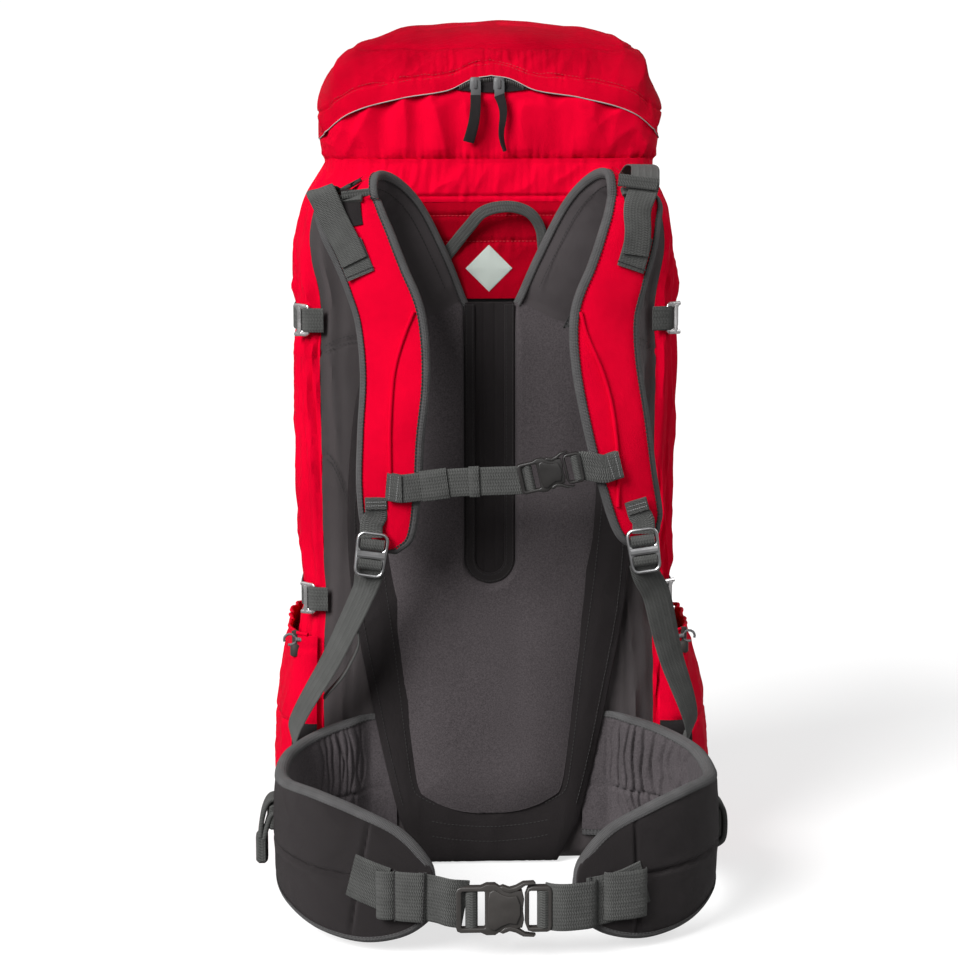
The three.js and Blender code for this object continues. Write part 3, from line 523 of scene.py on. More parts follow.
class Surface:
    """A material whose nodes are added and linked by short calls."""

    def __init__(self, name, rough, metal=0.0, sheen=0.0, specular=0.5, tint=(1.0, 1.0, 1.0)):
        self.made = bpy.data.materials.new(name)
        self.made.use_nodes = True
        self.tree = self.made.node_tree
        self.shader = self.tree.nodes["Principled BSDF"]
        self.shader.inputs["Roughness"].default_value = rough
        self.shader.inputs["Metallic"].default_value = metal
        self.shader.inputs["Sheen Weight"].default_value = sheen
        self.shader.inputs["Sheen Roughness"].default_value = 0.45
        self.shader.inputs["Specular IOR Level"].default_value = specular
        self.shader.inputs["Specular Tint"].default_value = (*tint, 1.0)
        self.shader.inputs["Sheen Tint"].default_value = (*tint, 1.0)

    def add(self, kind, settings=None, **inputs):
        node = self.tree.nodes.new("ShaderNode" + kind)
        for key, value in (settings or {}).items():
            setattr(node, key, value)
        for key, value in inputs.items():
            socket = node.inputs[int(key[1:])] if key[0] == "_" else node.inputs[key.replace("_", " ")]
            if isinstance(value, bpy.types.NodeSocket):
                self.tree.links.new(value, socket)
            else:
                socket.default_value = value
        return node

    def math(self, operation, *values):
        inputs = {"_%d" % i: value for i, value in enumerate(values)}
        return self.add("Math", {"operation": operation}, **inputs).outputs[0]

    def cloth(self):
        """Across and along the cloth, in metres."""
        uv = self.add("UVMap", {"uv_map": "cloth"}).outputs[0]
        parts = self.add("SeparateXYZ", Vector=uv)
        return uv, parts.outputs[0], parts.outputs[1]

    def wave(self, value, pitch):
        return self.math("SINE", self.math("MULTIPLY", value, 2 * math.pi / pitch))

    def noise(self, scale, detail=3.0):
        where = self.add("TexCoord").outputs["Object"]
        node = self.add("TexNoise", Vector=where, Scale=scale, Detail=detail, Roughness=0.62)
        return node.outputs["Fac"]

    def ramp(self, factor, *stops):
        node = self.add("ValToRGB", Fac=factor)
        elements = node.color_ramp.elements
        while len(elements) < len(stops):
            elements.new(0.5)
        for element, (place, colour) in zip(elements, stops):
            element.position = place
            element.color = (*colour, 1.0)
        return node.outputs[0]

    def multiplied(self, a, b):
        settings = {"data_type": "RGBA", "blend_type": "MULTIPLY"}
        return self.add("Mix", settings, _0=1.0, _6=a, _7=b).outputs[2]

    def bump(self, height, distance, strength=1.0, below=None):
        node = self.add("Bump", Height=height, Distance=distance, Strength=strength)
        if below is not None:
            self.tree.links.new(below, node.inputs["Normal"])
        return node.outputs[0]

    def finish(self, colour, normal=None, rough=None):
        self.tree.links.new(colour, self.shader.inputs["Base Color"])
        if normal is not None:
            self.tree.links.new(normal, self.shader.inputs["Normal"])
        if rough is not None:
            self.tree.links.new(rough, self.shader.inputs["Roughness"])
        return self.made


def scaled(colour, by):
    return tuple(channel * by for channel in colour)


def grey(level):
    return (level, level, level)


def woven(name, colour, rough, sheen, thread=0.0006, depth=0.00012, blotch=0.12, specular=0.2):
    """Plain-woven cloth: crossed threads, slubs and a little uneven dye."""
    tint = scaled(colour, 1.0 / max(colour))
    surface = Surface(name, rough, sheen=sheen, specular=specular, tint=tint)
    _, across, along = surface.cloth()
    weave = surface.math("MULTIPLY", surface.wave(across, thread), surface.wave(along, thread))
    slubs = surface.noise(900.0, 2.0)
    dye = surface.noise(14.0, 5.0)
    tone = surface.ramp(dye, (0.3, scaled(colour, 1 - blotch)), (0.7, scaled(colour, 1 + blotch)))
    threads = surface.ramp(weave, (0.0, grey(0.8)), (1.0, grey(1.0)))
    fine = surface.bump(weave, depth)
    coarse = surface.bump(slubs, 0.0002, 0.5, fine)
    gloss = surface.math("MULTIPLY_ADD", surface.noise(30.0), 0.2, rough - 0.1)
    return surface.finish(surface.multiplied(tone, threads), coarse, gloss)


def knitted(name, colour, hole=0.0012, depth=0.0003):
    """Spacer mesh: a close net of small holes over foam."""
    surface = Surface(name, 0.88, sheen=0.06, specular=0.12)
    uv, _, _ = surface.cloth()
    cells = surface.add("TexVoronoi", {"feature": "F1"}, Vector=uv, Scale=1.0 / hole, Randomness=0.75)
    net = cells.outputs[0]
    dye = surface.noise(9.0, 4.0)
    grain = surface.math("ADD", surface.noise(680.0, 1.0), surface.math("MULTIPLY", dye, 0.3))
    tone = surface.ramp(grain, (0.4, scaled(colour, 0.76)), (0.9, scaled(colour, 1.24)))
    holes = surface.ramp(net, (0.1, grey(0.68)), (0.45, grey(1.0)))
    return surface.finish(surface.multiplied(tone, holes), surface.bump(net, depth, 0.7))


def ribbed(name, colour, rib=0.0014, lane=0.0029, depth=0.0003):
    """Webbing: slanted ribs that change direction from lane to lane."""
    surface = Surface(name, 0.72, sheen=0.05, specular=0.2)
    _, across, along = surface.cloth()
    lanes = surface.math("PINGPONG", across, lane)
    slant = surface.math("ADD", along, surface.math("MULTIPLY", lanes, 0.3))
    ribs = surface.wave(slant, rib)
    edge = surface.wave(across, lane)
    weave = surface.math("ADD", ribs, surface.math("MULTIPLY", edge, 0.35))
    dye = surface.noise(60.0, 4.0)
    tone = surface.ramp(dye, (0.25, scaled(colour, 0.8)), (0.75, scaled(colour, 1.2)))
    height = surface.math("MULTIPLY_ADD", weave, 0.4, 0.5)
    lit = surface.ramp(height, (0.0, grey(0.55)), (0.8, grey(1.0)))
    return surface.finish(surface.multiplied(tone, lit), surface.bump(weave, depth, 0.8))


def moulded(name, colour, rough, metal=0.0, grain=700.0, depth=0.00006):
    """Moulded plastic or cast metal with a fine grain and a few rubbed places."""
    surface = Surface(name, rough, metal=metal)
    grainy = surface.noise(grain, 4.0)
    rubbed = surface.noise(45.0, 5.0)
    tone = surface.ramp(rubbed, (0.3, scaled(colour, 0.8)), (0.75, scaled(colour, 1.25)))
    gloss = surface.math("MULTIPLY_ADD", rubbed, 0.25, rough - 0.12)
    return surface.finish(tone, surface.bump(grainy, depth, 0.6), gloss)


RED = woven("red_nylon", (0.78, 0.0012, 0.026), 0.5, 0.0, specular=0.03)
# The lid's crown: the same red nylon darkened to paint in the shade that falls on its upward faces
RED_TOP_PAINTED_SHADE = woven("red_nylon_top_painted_shade", (0.6, 0.001, 0.019), 0.5, 0.0, blotch=0.2, specular=0.03)
# The yoke: the same red nylon darkened to paint in the shadow cast on it by the lid and the straps
RED_YOKE_PAINTED_SHADOW = woven("red_nylon_painted_shadow", (0.37, 0.001, 0.0115), 0.55, 0.0, specular=0.03)
CHARCOAL = woven("charcoal_cloth", (0.06, 0.053, 0.054), 0.62, 0.05, thread=0.0008, depth=0.0002)
LINING = woven("strap_lining", (0.068, 0.06, 0.062), 0.75, 0.06, thread=0.0009, depth=0.0002)
BLACK = woven("black_stretch_cloth", (0.0118, 0.0104, 0.0107), 0.66, 0.03, thread=0.0007)
BELT = woven("belt_cloth", (0.018, 0.016, 0.0164), 0.6, 0.04, thread=0.001, depth=0.0003)
GREY_MESH = knitted("grey_mesh", (0.049, 0.0421, 0.0447))
WING_MESH = knitted("wing_mesh", (0.054, 0.047, 0.05))
WEBBING = ribbed("grey_webbing", (0.07, 0.071, 0.068))
TAPE = ribbed("grey_binding", (0.08, 0.078, 0.079), rib=0.0013, lane=0.0018, depth=0.0003)
CORD = ribbed("grey_cord", (0.16, 0.16, 0.165), rib=0.0016, lane=0.003)
PIPING = ribbed("light_piping", (0.42, 0.39, 0.38), rib=0.001, lane=0.002, depth=0.0001)
PATCH = woven("light_patch", (0.5, 0.55, 0.51), 0.6, 0.1, thread=0.0008)
PLASTIC = moulded("dark_plastic", (0.03, 0.027, 0.025), 0.42)
BLACK_PLASTIC = moulded("black_plastic", (0.013, 0.0118, 0.0112), 0.38)
METAL = moulded("alloy", (0.82, 0.8, 0.8), 0.26, metal=1.0, grain=300.0)
GUNMETAL = moulded("gunmetal", (0.07, 0.07, 0.072), 0.45)
STEEL = moulded("dark_metal", (0.4, 0.4, 0.405), 0.34, metal=1.0, grain=300.0)
DARK_THREAD = moulded("dark_thread", (0.014, 0.013, 0.013), 0.8)
PALE_THREAD = moulded("pale_thread", (0.2, 0.2, 0.2), 0.8)
RED_THREAD = moulded("red_thread", (0.4, 0.003, 0.014), 0.7)


# Stage, light and camera


def make_stage():
    """A pale floor, a white backdrop that only the camera sees, a soft sun and two lamps."""
    mesh = bpy.data.meshes.new("floor")
    far = FLOOR_HALF
    mesh.from_pydata([(-far, -far, 0), (far, -far, 0), (far, far, 0), (-far, far, 0)], [], [(0, 1, 2, 3)])
    floor = bpy.data.objects.new("floor", mesh)
    bpy.context.scene.collection.objects.link(floor)
    pale = Surface("floor_pale", 0.95, specular=0.0)
    pale.shader.inputs["Emission Color"].default_value = (1.0, 1.0, 1.0, 1.0)
    pale.shader.inputs["Emission Strength"].default_value = FLOOR_GLOW
    speck = pale.noise(2.0)
    mesh.materials.append(pale.finish(pale.ramp(speck, (0.0, grey(0.34)), (1.0, grey(0.36)))))
    floor.visible_diffuse = False
    floor.visible_glossy = False

    world = bpy.data.worlds.new("studio")
    bpy.context.scene.world = world
    world.use_nodes = True
    tree = world.node_tree
    back = tree.nodes["Background"]
    back.inputs["Color"].default_value = (1.0, 1.0, 1.0, 1.0)
    back.inputs["Strength"].default_value = SKY_LIGHT
    seen = tree.nodes.new("ShaderNodeBackground")
    seen.inputs["Color"].default_value = (1.0, 1.0, 1.0, 1.0)
    seen.inputs["Strength"].default_value = SKY_SEEN
    mix = tree.nodes.new("ShaderNodeMixShader")
    path = tree.nodes.new("ShaderNodeLightPath")
    tree.links.new(path.outputs["Is Camera Ray"], mix.inputs[0])
    tree.links.new(back.outputs[0], mix.inputs[1])
    tree.links.new(seen.outputs[0], mix.inputs[2])
    tree.links.new(mix.outputs[0], tree.nodes["World Output"].inputs["Surface"])
    sun = bpy.data.lights.new("key", "SUN")
    sun.energy = SUN["energy"]
    sun.angle = math.radians(SUN["spread"])
    key = bpy.data.objects.new("key", sun)
    key.rotation_euler = Vector(SUN["toward"]).to_track_quat("-Z", "Y").to_euler()
    bpy.context.scene.collection.objects.link(key)
    for row in LAMPS:
        lamp(*row)


def lamp(name, place, size, power):
    light = bpy.data.lights.new(name, "AREA")
    light.size = size
    light.energy = power
    made = bpy.data.objects.new(name, light)
    made.location = place
    made.rotation_euler = (LAMP_AIM - Vector(place)).to_track_quat("-Z", "Y").to_euler()
    bpy.context.scene.collection.objects.link(made)


def make_camera():
    data = bpy.data.cameras.new("camera")
    data.lens = CAMERA["lens"]
    data.sensor_width = 36.0
    camera = bpy.data.objects.new("camera", data)
    lift = math.radians(CAMERA["lift"])
    turn = math.radians(CAMERA["turn"])
    back = Vector((-math.sin(turn) * math.cos(lift), -math.cos(turn) * math.cos(lift), math.sin(lift)))
    camera.location = Vector((0, BACK * MM, 0.38)) + CAMERA["range"] * back
    look = (AIM - camera.location).to_track_quat("-Z", "Y").to_matrix()
    camera.rotation_euler = (look @ Matrix.Rotation(math.radians(CAMERA["roll"]), 3, "Z")).to_euler()
    bpy.context.scene.collection.objects.link(camera)
    bpy.context.scene.camera = camera
    bpy.context.scene.view_settings.view_transform = "Standard"


make_stage()
make_camera()


# Padding

PAD_CLOTH = {"quality": 4, "mass": 0.3, "tension_stiffness": 18.0, "bending_stiffness": 0.4}


def held_near(places, reach):
    """A test for vertices within reach of any of the places."""

    def held(points):
        gaps = np.full(len(points), np.inf)
        for place in places:
            gaps = np.minimum(gaps, ((points - place) ** 2).sum(1))
        return gaps < reach**2

    return held


def inflate(made, held, pressure, cap, frames=14):
    """Lets cloth swell under pressure with some vertices held, and keeps the result."""
    rest = mesh_points(made.data)
    group = made.vertex_groups.new(name="held")
    group.add(np.flatnonzero(held(rest / MM)).tolist(), 1.0, "REPLACE")
    cloth = made.modifiers.new("swell", "CLOTH")
    cloth.settings.vertex_group_mass = "held"
    cloth.settings.use_pressure = True
    cloth.settings.uniform_pressure_force = pressure
    cloth.settings.effector_weights.gravity = 0.0
    for key, value in PAD_CLOTH.items():
        setattr(cloth.settings, key, value)
    cloth.collision_settings.use_collision = False
    scene = bpy.context.scene
    for count in range(1, frames + 1):
        scene.frame_set(count)
    posed = made.evaluated_get(bpy.context.evaluated_depsgraph_get()).data
    moved = mesh_points(posed) - rest
    reach = np.linalg.norm(moved, axis=1, keepdims=True)
    moved *= np.minimum(1.0, cap * MM / np.maximum(reach, 1e-9))
    made.modifiers.remove(cloth)
    made.vertex_groups.remove(group)
    made.data.vertices.foreach_set("co", (rest + moved).ravel())
    made.data.update()
    scene.frame_set(1)


# Bag


def outline(tab, phi, where, lift, key):
    """A rounded outline: where it lies in the direction phi from its middle."""
    half = smooth(tab, "half", where, key) + lift
    behind = np.sin(phi) < 0
    depth = np.where(behind, smooth(tab, "back", where, key), smooth(tab, "front", where, key)) + lift
    power = np.where(behind, BACK_POWER, FRONT_POWER)
    total = np.abs(np.cos(phi) / half) ** power + np.abs(np.sin(phi) / depth) ** power
    radius = total ** (-1.0 / power)
    z = smooth(tab, "z", where, key)
    return joined(radius * np.cos(phi), radius * np.sin(phi), z)


def bag_dents(phi, z):
    """How far the compression straps draw the sides in."""
    side = bell(np.arctan2(np.sin(phi), np.abs(np.cos(phi))) + 0.05, 0.5)
    upper = 5.0 * bell(z - SIDE_LEVELS["upper"], 26.0)
    lower = 6.0 * bell(z - SIDE_LEVELS["lower"], 28.0)
    return side * (upper + lower)


def bag(phi, z, lift=0.0):
    phi, z = np.broadcast_arrays(phi, z)
    return outline(BAG, phi, z, lift - bag_dents(phi, z), "z")


def seam_slide(phi, z):
    """Directions moved so that the charcoal panel reaches farther round the bag near its top."""
    right = np.arctan2(np.sin(phi), np.abs(np.cos(phi)))
    near = limited(1 - np.abs(right - BACK_SEAM) / 0.45)
    return phi + 0.075 * np.sign(np.cos(phi)) * near * eased((z - 520) / 65)


def bag_back_y(x, z):
    """Depth of the bag's back at a place across and a height."""
    return -smooth(BAG, "back", z) * back_share(x, smooth(BAG, "half", z))


def back_share(x, half):
    """Share of an outline's depth toward the back at a place across."""
    return np.maximum(1 - np.abs(x / half) ** BACK_POWER, 0.01) ** (1 / BACK_POWER)


def directions(start, end, count):
    """Directions from the middle of the bag that lie evenly along its wall."""
    dense = np.linspace(start, end, 800)
    line = bag(dense, np.full(800, 330.0))
    lengths = run(line, 0)
    return np.interp(np.linspace(0, lengths[-1], count), lengths, dense)


def seam_roll(u, wide, depth=2.6, reach=5.0):
    """Cloth that turns in toward the seams at its two sides."""
    return -depth * (bell(u, reach) + bell(wide - u, reach))


# Heights of the folds in the bag's walls
BAG_FOLDS = {"puckers": 1.0, "at_straps": 2.6, "at_seams": 6.0, "long": 2.4, "slanted": 0.8, "at_mouth": 2.0}


def bag_folds(u, v, wide, seed, lively):
    """Folds of a filled bag's wall: drawn in at the straps, puckered at the seams, crumpled between."""
    edge = np.minimum(u, wide - u)
    calm = limited(edge / 20.0) * np.clip((MOUTH - v) / 40.0, 0.3, 1) * np.clip(v / 60.0, 0.2, 1)
    high = {key: value * lively for key, value in BAG_FOLDS.items()}
    total = seam_roll(u, wide) + high["puckers"] * puckers(edge, v, 24.0, 12.0, seed)
    for level in SIDE_LEVELS.values():
        near = np.abs(v - level)
        clear = near - 9.0
        calm = calm * limited(clear / 16.0)
        drawn = noise(u / 15.0, v / 220.0, seed + 11) * np.exp(-near / 34.0) * limited(clear / 9.0)
        total += high["at_straps"] * drawn
    near_seam = limited(edge / 6.0) * np.exp(-edge / 40.0) * limited((600 - v) / 40.0)
    total += high["at_seams"] * near_seam * (creases(edge, v, 380.0, 15.0, 2.0, seed + 21) - 0.3)
    total += high["long"] * calm * (creases(u, v, 240.0, 40.0, 6.0, seed + 3) - 0.6)
    total += high["slanted"] * calm * creases(u, v, 160.0, 27.0, -14.0, seed + 5)
    gathered = np.exp(-(MOUTH - v) / 30.0)
    return total + high["at_mouth"] * gathered * noise(u / 13.0, v / 160.0, seed + 17) - 1.0


def bag_panel(node, start, end, columns, rows, material, slot, seed, lively, extra=None):
    """One wall of the bag between two seams; without extra dents its rim folds in under the lid."""
    phi = directions(start, end, columns)
    z = np.concatenate([np.linspace(0, 30, 12), np.linspace(30, MOUTH, rows)[1:]])
    base = bag(seam_slide(phi[None, :], z[:, None]), z[:, None])
    u = run(base, 1)
    v = np.broadcast_to(z[:, None], u.shape)
    moved = bag_folds(u, v, u[:, -1:], seed, lively)
    if extra is not None:
        moved += extra(base)
    moved = np.minimum(moved, 2.5) * limited(v / 18)
    outer = base + normals(base) * moved[..., None]
    if extra is None:
        tuck = limited((v - RIM_FOLD["from"]) / RIM_FOLD["over"])[..., None]
        outer = outer * (1 - RIM_FOLD["narrows"] * LEVEL * tuck) + RIM_FOLD["rises"] * UPWARD * tuck
    shape = Shape()
    shape.wall(outer, WALL, np.stack([u, v], -1))
    made = shape.make("cloth_" + node, [material], slot, node=node)


def seam_height(across, low=False):
    """Height of the two curved seams across the charcoal panel, beside the straps."""
    if low:
        return 380.0 - 0.09 * np.maximum(150 - across, 0) ** 2
    return 486.0 - 0.012 * (across - 118.0) ** 2


def back_seams(base):
    """Dents along the curved seams, and the tuck of the panel's top under the lid's collar."""
    across = np.abs(base[..., 0])
    z = base[..., 2]
    upper = bell(z - seam_height(across), 2.4) * (across > 100)
    lower = bell((z - seam_height(across, True)) / np.sqrt(1 + (0.18 * (150 - across)) ** 2), 2.4)
    tucked = limited((z - 598) / 16)
    return -2.2 * upper - 2.2 * lower * (across > 112) * (across < 152) - 6.0 * tucked


def disc(node, rim, low, high, material, slot):
    """A flat panel inside a closed outline."""
    shares = np.linspace(1, 0.004, 14)[:, None, None]
    uv = np.concatenate([rim, rim[:1]], 0)[None, :, :2] * shares
    shape = Shape()
    lower = rim * LEVEL * shares + UPWARD * low
    upper = rim * LEVEL * shares + UPWARD * high
    shape.grid(lower, uv, 0, close=True)
    shape.grid(upper, uv, 0, close=True)
    shape.grid(np.stack([lower[0], upper[0]]), None, 0, close=True)
    shape.polygon(lower[-1])
    shape.polygon(upper[-1])
    made = shape.make("cloth_" + node, [material], slot, node=node)


ALL_ROUND = np.linspace(0, 2 * np.pi, 100, endpoint=False)
LID_ROUND = np.concatenate([
    np.linspace(0, np.pi, 110, endpoint=False),
    np.linspace(np.pi, 2 * np.pi, 280, endpoint=False),
])


def make_bag():
    turned = math.pi - FRONT_SEAM
    bag_panel(
        "bag_back", -math.pi - BACK_SEAM, BACK_SEAM, 96, 140, CHARCOAL, "charcoal_cloth", 11, 0.55, back_seams
    )
    bag_panel("bag_front", FRONT_SEAM, turned, 104, 100, RED, "red_nylon", 21, 1.25)
    bag_panel("bag_side_right", BACK_SEAM, FRONT_SEAM, 74, 160, RED, "red_nylon", 31, 1.4)
    bag_panel("bag_side_left", turned, math.pi - BACK_SEAM, 74, 160, RED, "red_nylon", 41, 1.4)
    for way in (-1, 1):
        for low, reach in ((False, (112, 146)), (True, (118, 146))):
            across = np.linspace(*reach, 30)
            z = seam_height(across, low)
            for shift in (-3.0, 3.0):
                line = np.stack([way * across, bag_back_y(across, z) - 0.7, z + shift], -1)
                stitch_row(DARK_SEAMS, line, OUTWARD, *PANEL_STITCH)
    disc("bag_base", bag(ALL_ROUND, np.full(100, 0.5), -WALL - 0.8), 0.2, 2.4, BLACK, "black_pad")


# Lid


def lid(phi, place, lift=0.0):
    phi, place = np.broadcast_arrays(phi, place)
    return slumped(outline(LID, phi, place, lift, "place"))


def slumped(points):
    """The stuffed lid leans to the right and sags at its upper left corner."""
    left = eased((-points[..., 0] - 55) / 80)
    high = limited((points[..., 2] - 700) / 45)
    points[..., 2] -= 8.0 * left * high
    points[..., 0] += LID_SHIFT
    return points


def lid_place(z):
    return np.interp(z, LID["z"], LID["place"])


def lid_at(x, z, lift=0.0):
    """A place on the lid's side toward the wearer."""
    place = lid_place(z)
    half = smooth(LID, "half", place, "place")
    back = smooth(LID, "back", place, "place")
    y = -back * back_share(x, half) - lift
    return slumped(joined(np.asarray(x, float), y, z))


def flap_z(phi):
    """Height of the rain flap's edge all round the lid."""
    x = np.abs(lid(phi, 2.0)[..., 0] - LID_SHIFT)
    return np.where(np.sin(phi) < 0, smooth(FLAP_EDGE, "z", x, "across"), FLAP_EDGE["z"][-1])


def make_lid():
    """The lid's crown and rain flap, with its piping, its stitching and the skirt below it."""
    phi = LID_ROUND
    edge_z = flap_z(phi)
    edge = lid_place(edge_z)
    share = np.linspace(0, 1, 91)[:, None]
    place = edge + (LID["place"][-1] - edge) * share
    base = lid(phi, place)
    x, y, z = (base[..., i] for i in range(3))
    worn = limited(-2.5 * np.sin(phi)) * np.ones_like(x)
    above = z - edge_z
    u = run(closed(base), 1)
    v = run(base, 0)
    stitched = 12.0 + 0.07 * np.abs(x)
    seam = np.abs(z - CROWN_SEAM)
    middle = limited((118 - np.abs(x)) / 30)
    band = worn * limited((above - stitched) / 3) * limited((CROWN_SEAM - z) / 3) * middle
    moved = -1.6 * worn * bell(above - stitched, 1.6) - 1.8 * bell(seam, 2.0)
    moved += 1.2 * band * noise(x / 4.0, z / 30.0, 61)
    moved += 1.4 * band * creases(x, z, 60.0, 18.0, 30.0, 67)
    moved += 1.2 * puckers(np.abs(above - stitched), x, 3.6, 6.0, 62) * worn
    moved += 0.9 * puckers(seam, u[:, :-1], 6.0, 9.0, 63)
    moved += 1.7 * limited(above / 8) * noise(x / 34.0, (z + 0.4 * y) / 60.0, 64)
    corner = limited((np.abs(x) - 80) / 45)
    moved += 2.4 * corner * (creases(np.abs(x), z - 0.5 * y, 120.0, 26.0, 38.0, 65) - 0.4)
    moved += 1.6 * limited((z - CROWN_SEAM + 1) / 10) * (noise(x / 75.0, y / 45.0, 66) - 0.5)
    moved = np.clip(moved, -0.2 - 4.0 * limited(above / 8), 1.8) - 0.8
    outer = base + normals(base, True) * moved[..., None]
    uv = np.stack([u, closed(v)], -1)
    shape = Shape()
    inner = outer - normals(outer, True) * WALL
    shape.grid(outer, uv, 0, close=True)
    shape.grid(inner[::6], uv[::6], 0, close=True)
    shape.grid(np.stack([outer[0], inner[0]]), uv[:2], 0, close=True)
    shape.polygon(outer[-1])
    shape.polygon(inner[::6][-1])
    # The crown's darker red is painted shade on the same red nylon, not a different cloth
    made = shape.make("cloth_lid_top", [RED_TOP_PAINTED_SHADE], "red_nylon", node="lid_top")
    make_piping(outer)
    looks = normals(outer, True)
    columns = np.flatnonzero((np.sin(phi) < 0) & (np.abs(x[0]) < 145))
    for level in (-1.6, 1.6):
        near = np.abs(above - stitched - level).argmin(0)[columns]
        stitch_row(RED_SEAMS, outer[near, columns][::4], looks[near, columns][::4], 3.2, 2.2, 0.35)
    make_skirt(phi, edge)


def make_piping(outer):
    """A light cord along the rain flap's edge."""
    piping = Shape()
    hem = np.concatenate([outer[0], outer[:1, 0]], 0) - np.array([0, 0, 0.4])
    away = unit(hem * LEVEL)
    rings = hem[:, None] + 0.5 * (away[:, None] * ROUND[:, :1] + UPWARD * ROUND[:, 1:])
    uv = joined(np.linspace(0, 6, 11)[None], np.linspace(0, 950, len(hem))[:, None])
    piping.grid(rings, uv, 0, close=True)
    piping.make("lid_piping", [PIPING], "webbing")


def make_skirt(phi, edge):
    """The lid's lower panel, gathered at its hem and slipped under the rain flap."""
    share = np.linspace(0, 1, 44)[:, None]
    place = (edge + 0.35) * share
    lap = LAP * (1 - 0.7 * limited((np.abs(lid(phi, place)[..., 0]) - 118) / 28))
    base = lid(phi, place, -lap - 3.0 * limited((share - 0.87) / 0.09))
    z = base[..., 2]
    u = np.broadcast_to(run(closed(base), 1)[20, :-1], z.shape)
    x = base[..., 0]
    low = np.exp(-(z - LID_HEM) / 9.0)
    worn = limited(-2.5 * np.sin(phi))
    corner = limited((np.abs(x) - 70) / 60)
    body = limited((z - LID_HEM) / 12)
    moved = 4.4 * body * noise(u / 27.0, z / 170.0, 71)
    moved += 2.6 * body * (creases(u, z, 150.0, 36.0, 4.0, 72) - 0.3)
    moved += 2.2 * low * noise(u / 4.6, z / 60.0, 73)
    moved += 2.2 * worn * corner * (creases(np.abs(x), z, 90.0, 24.0, 34.0, 74) - 0.3)
    moved -= 2.2 * bell(z - LID_HEM, 4.0)
    zipped = limited((52 - np.abs(x)) / 8) * limited((z - 692) / 7) * worn
    below = smooth(LID, "z", edge, "place") - z
    room = lap - 1.4 + 3.5 * limited((below - 10) / 14)
    moved = np.clip(moved, -6.0, room) * (1 - zipped) - 0.6 * zipped
    outer = base + normals(base, True) * moved[..., None]
    outer[..., 2] += 2.2 * low * noise(u / 19.0, 0.5, 75)
    across = run(closed(base), 1)
    high = run(base, 0)
    uv = np.stack([across, closed(high)], -1)
    shape = Shape()
    shape.wall(outer, WALL, uv, close=True)
    made = shape.make("cloth_lid_lower", [RED], "red_nylon", node="lid_lower")
    rim = lid(ALL_ROUND, np.full(100, 0.1), -LAP - WALL - 0.5)
    disc("lid_base", rim, LID_HEM + 1.0, LID_HEM + 2.6, RED, "red_nylon")


def make_hinge():
    """The gathered collar that joins the lid to the bag on the wearer's side."""
    phi = directions(-math.pi + 0.35, -0.35, 240)[None, :]
    z = np.linspace(HINGE_FOOT, HINGE_TOP, 32)[:, None]
    share = limited((z - HINGE_FOOT - 4.0) / 30)
    corner = limited((np.abs(bag(phi, np.full_like(phi, HINGE_FOOT + 2.0))[..., 0]) - 104) / 40)
    foot = 2.4 * limited((HINGE_FOOT + 8.0 - z) / 8) * (1 - corner)
    below = bag(phi, np.minimum(z, MOUTH - 1.0) + 0 * phi, 4.6 - foot - 6.6 * corner)
    above = lid(phi, np.zeros_like(phi), -LAP * 0.6)
    base = below * (1 - share)[..., None] + above * share[..., None]
    base[..., 2] = z
    u = np.broadcast_to(run(base, 1)[16], base.shape[:2])
    zz = np.broadcast_to(z, u.shape)
    middle = np.sin(np.pi * share)
    moved = 1.6 * middle + 0.9 * noise(u / 5.0, zz / 30.0, 81)
    moved += 1.7 * middle * creases(u, zz, 50.0, 20.0, 28.0, 82)
    moved -= 1.4 * bell(zz - HINGE_FOOT - 5.0, 1.6)
    outer = base + normals(base) * np.clip(moved * (1 - 0.5 * corner), -1.6, 4.0)[..., None]
    shape = Shape()
    shape.wall(outer, WALL, np.stack([u, zz], -1))
    made = shape.make("cloth_lid_hinge_panel", [RED], "red_nylon", node="lid_hinge_panel")


# Zip pulls: places across of the top and the foot, and height of the foot
ZIP_PULLS = {"left": (-14.5, -21.0, 661.0), "right": (6.5, 11.5, 653.0)}
# Blocks of a slider: shift from its middle, and half width, depth and height
SLIDER_BLOCKS = (
    ((0, 0, 0), (4.8, 2.0, 6.0)),
    ((0.4, -2.4, -5.0), (4.4, 1.2, 8.6)),
    ((0, -3.6, 0), (1.6, 1.4, 4.0)),
)


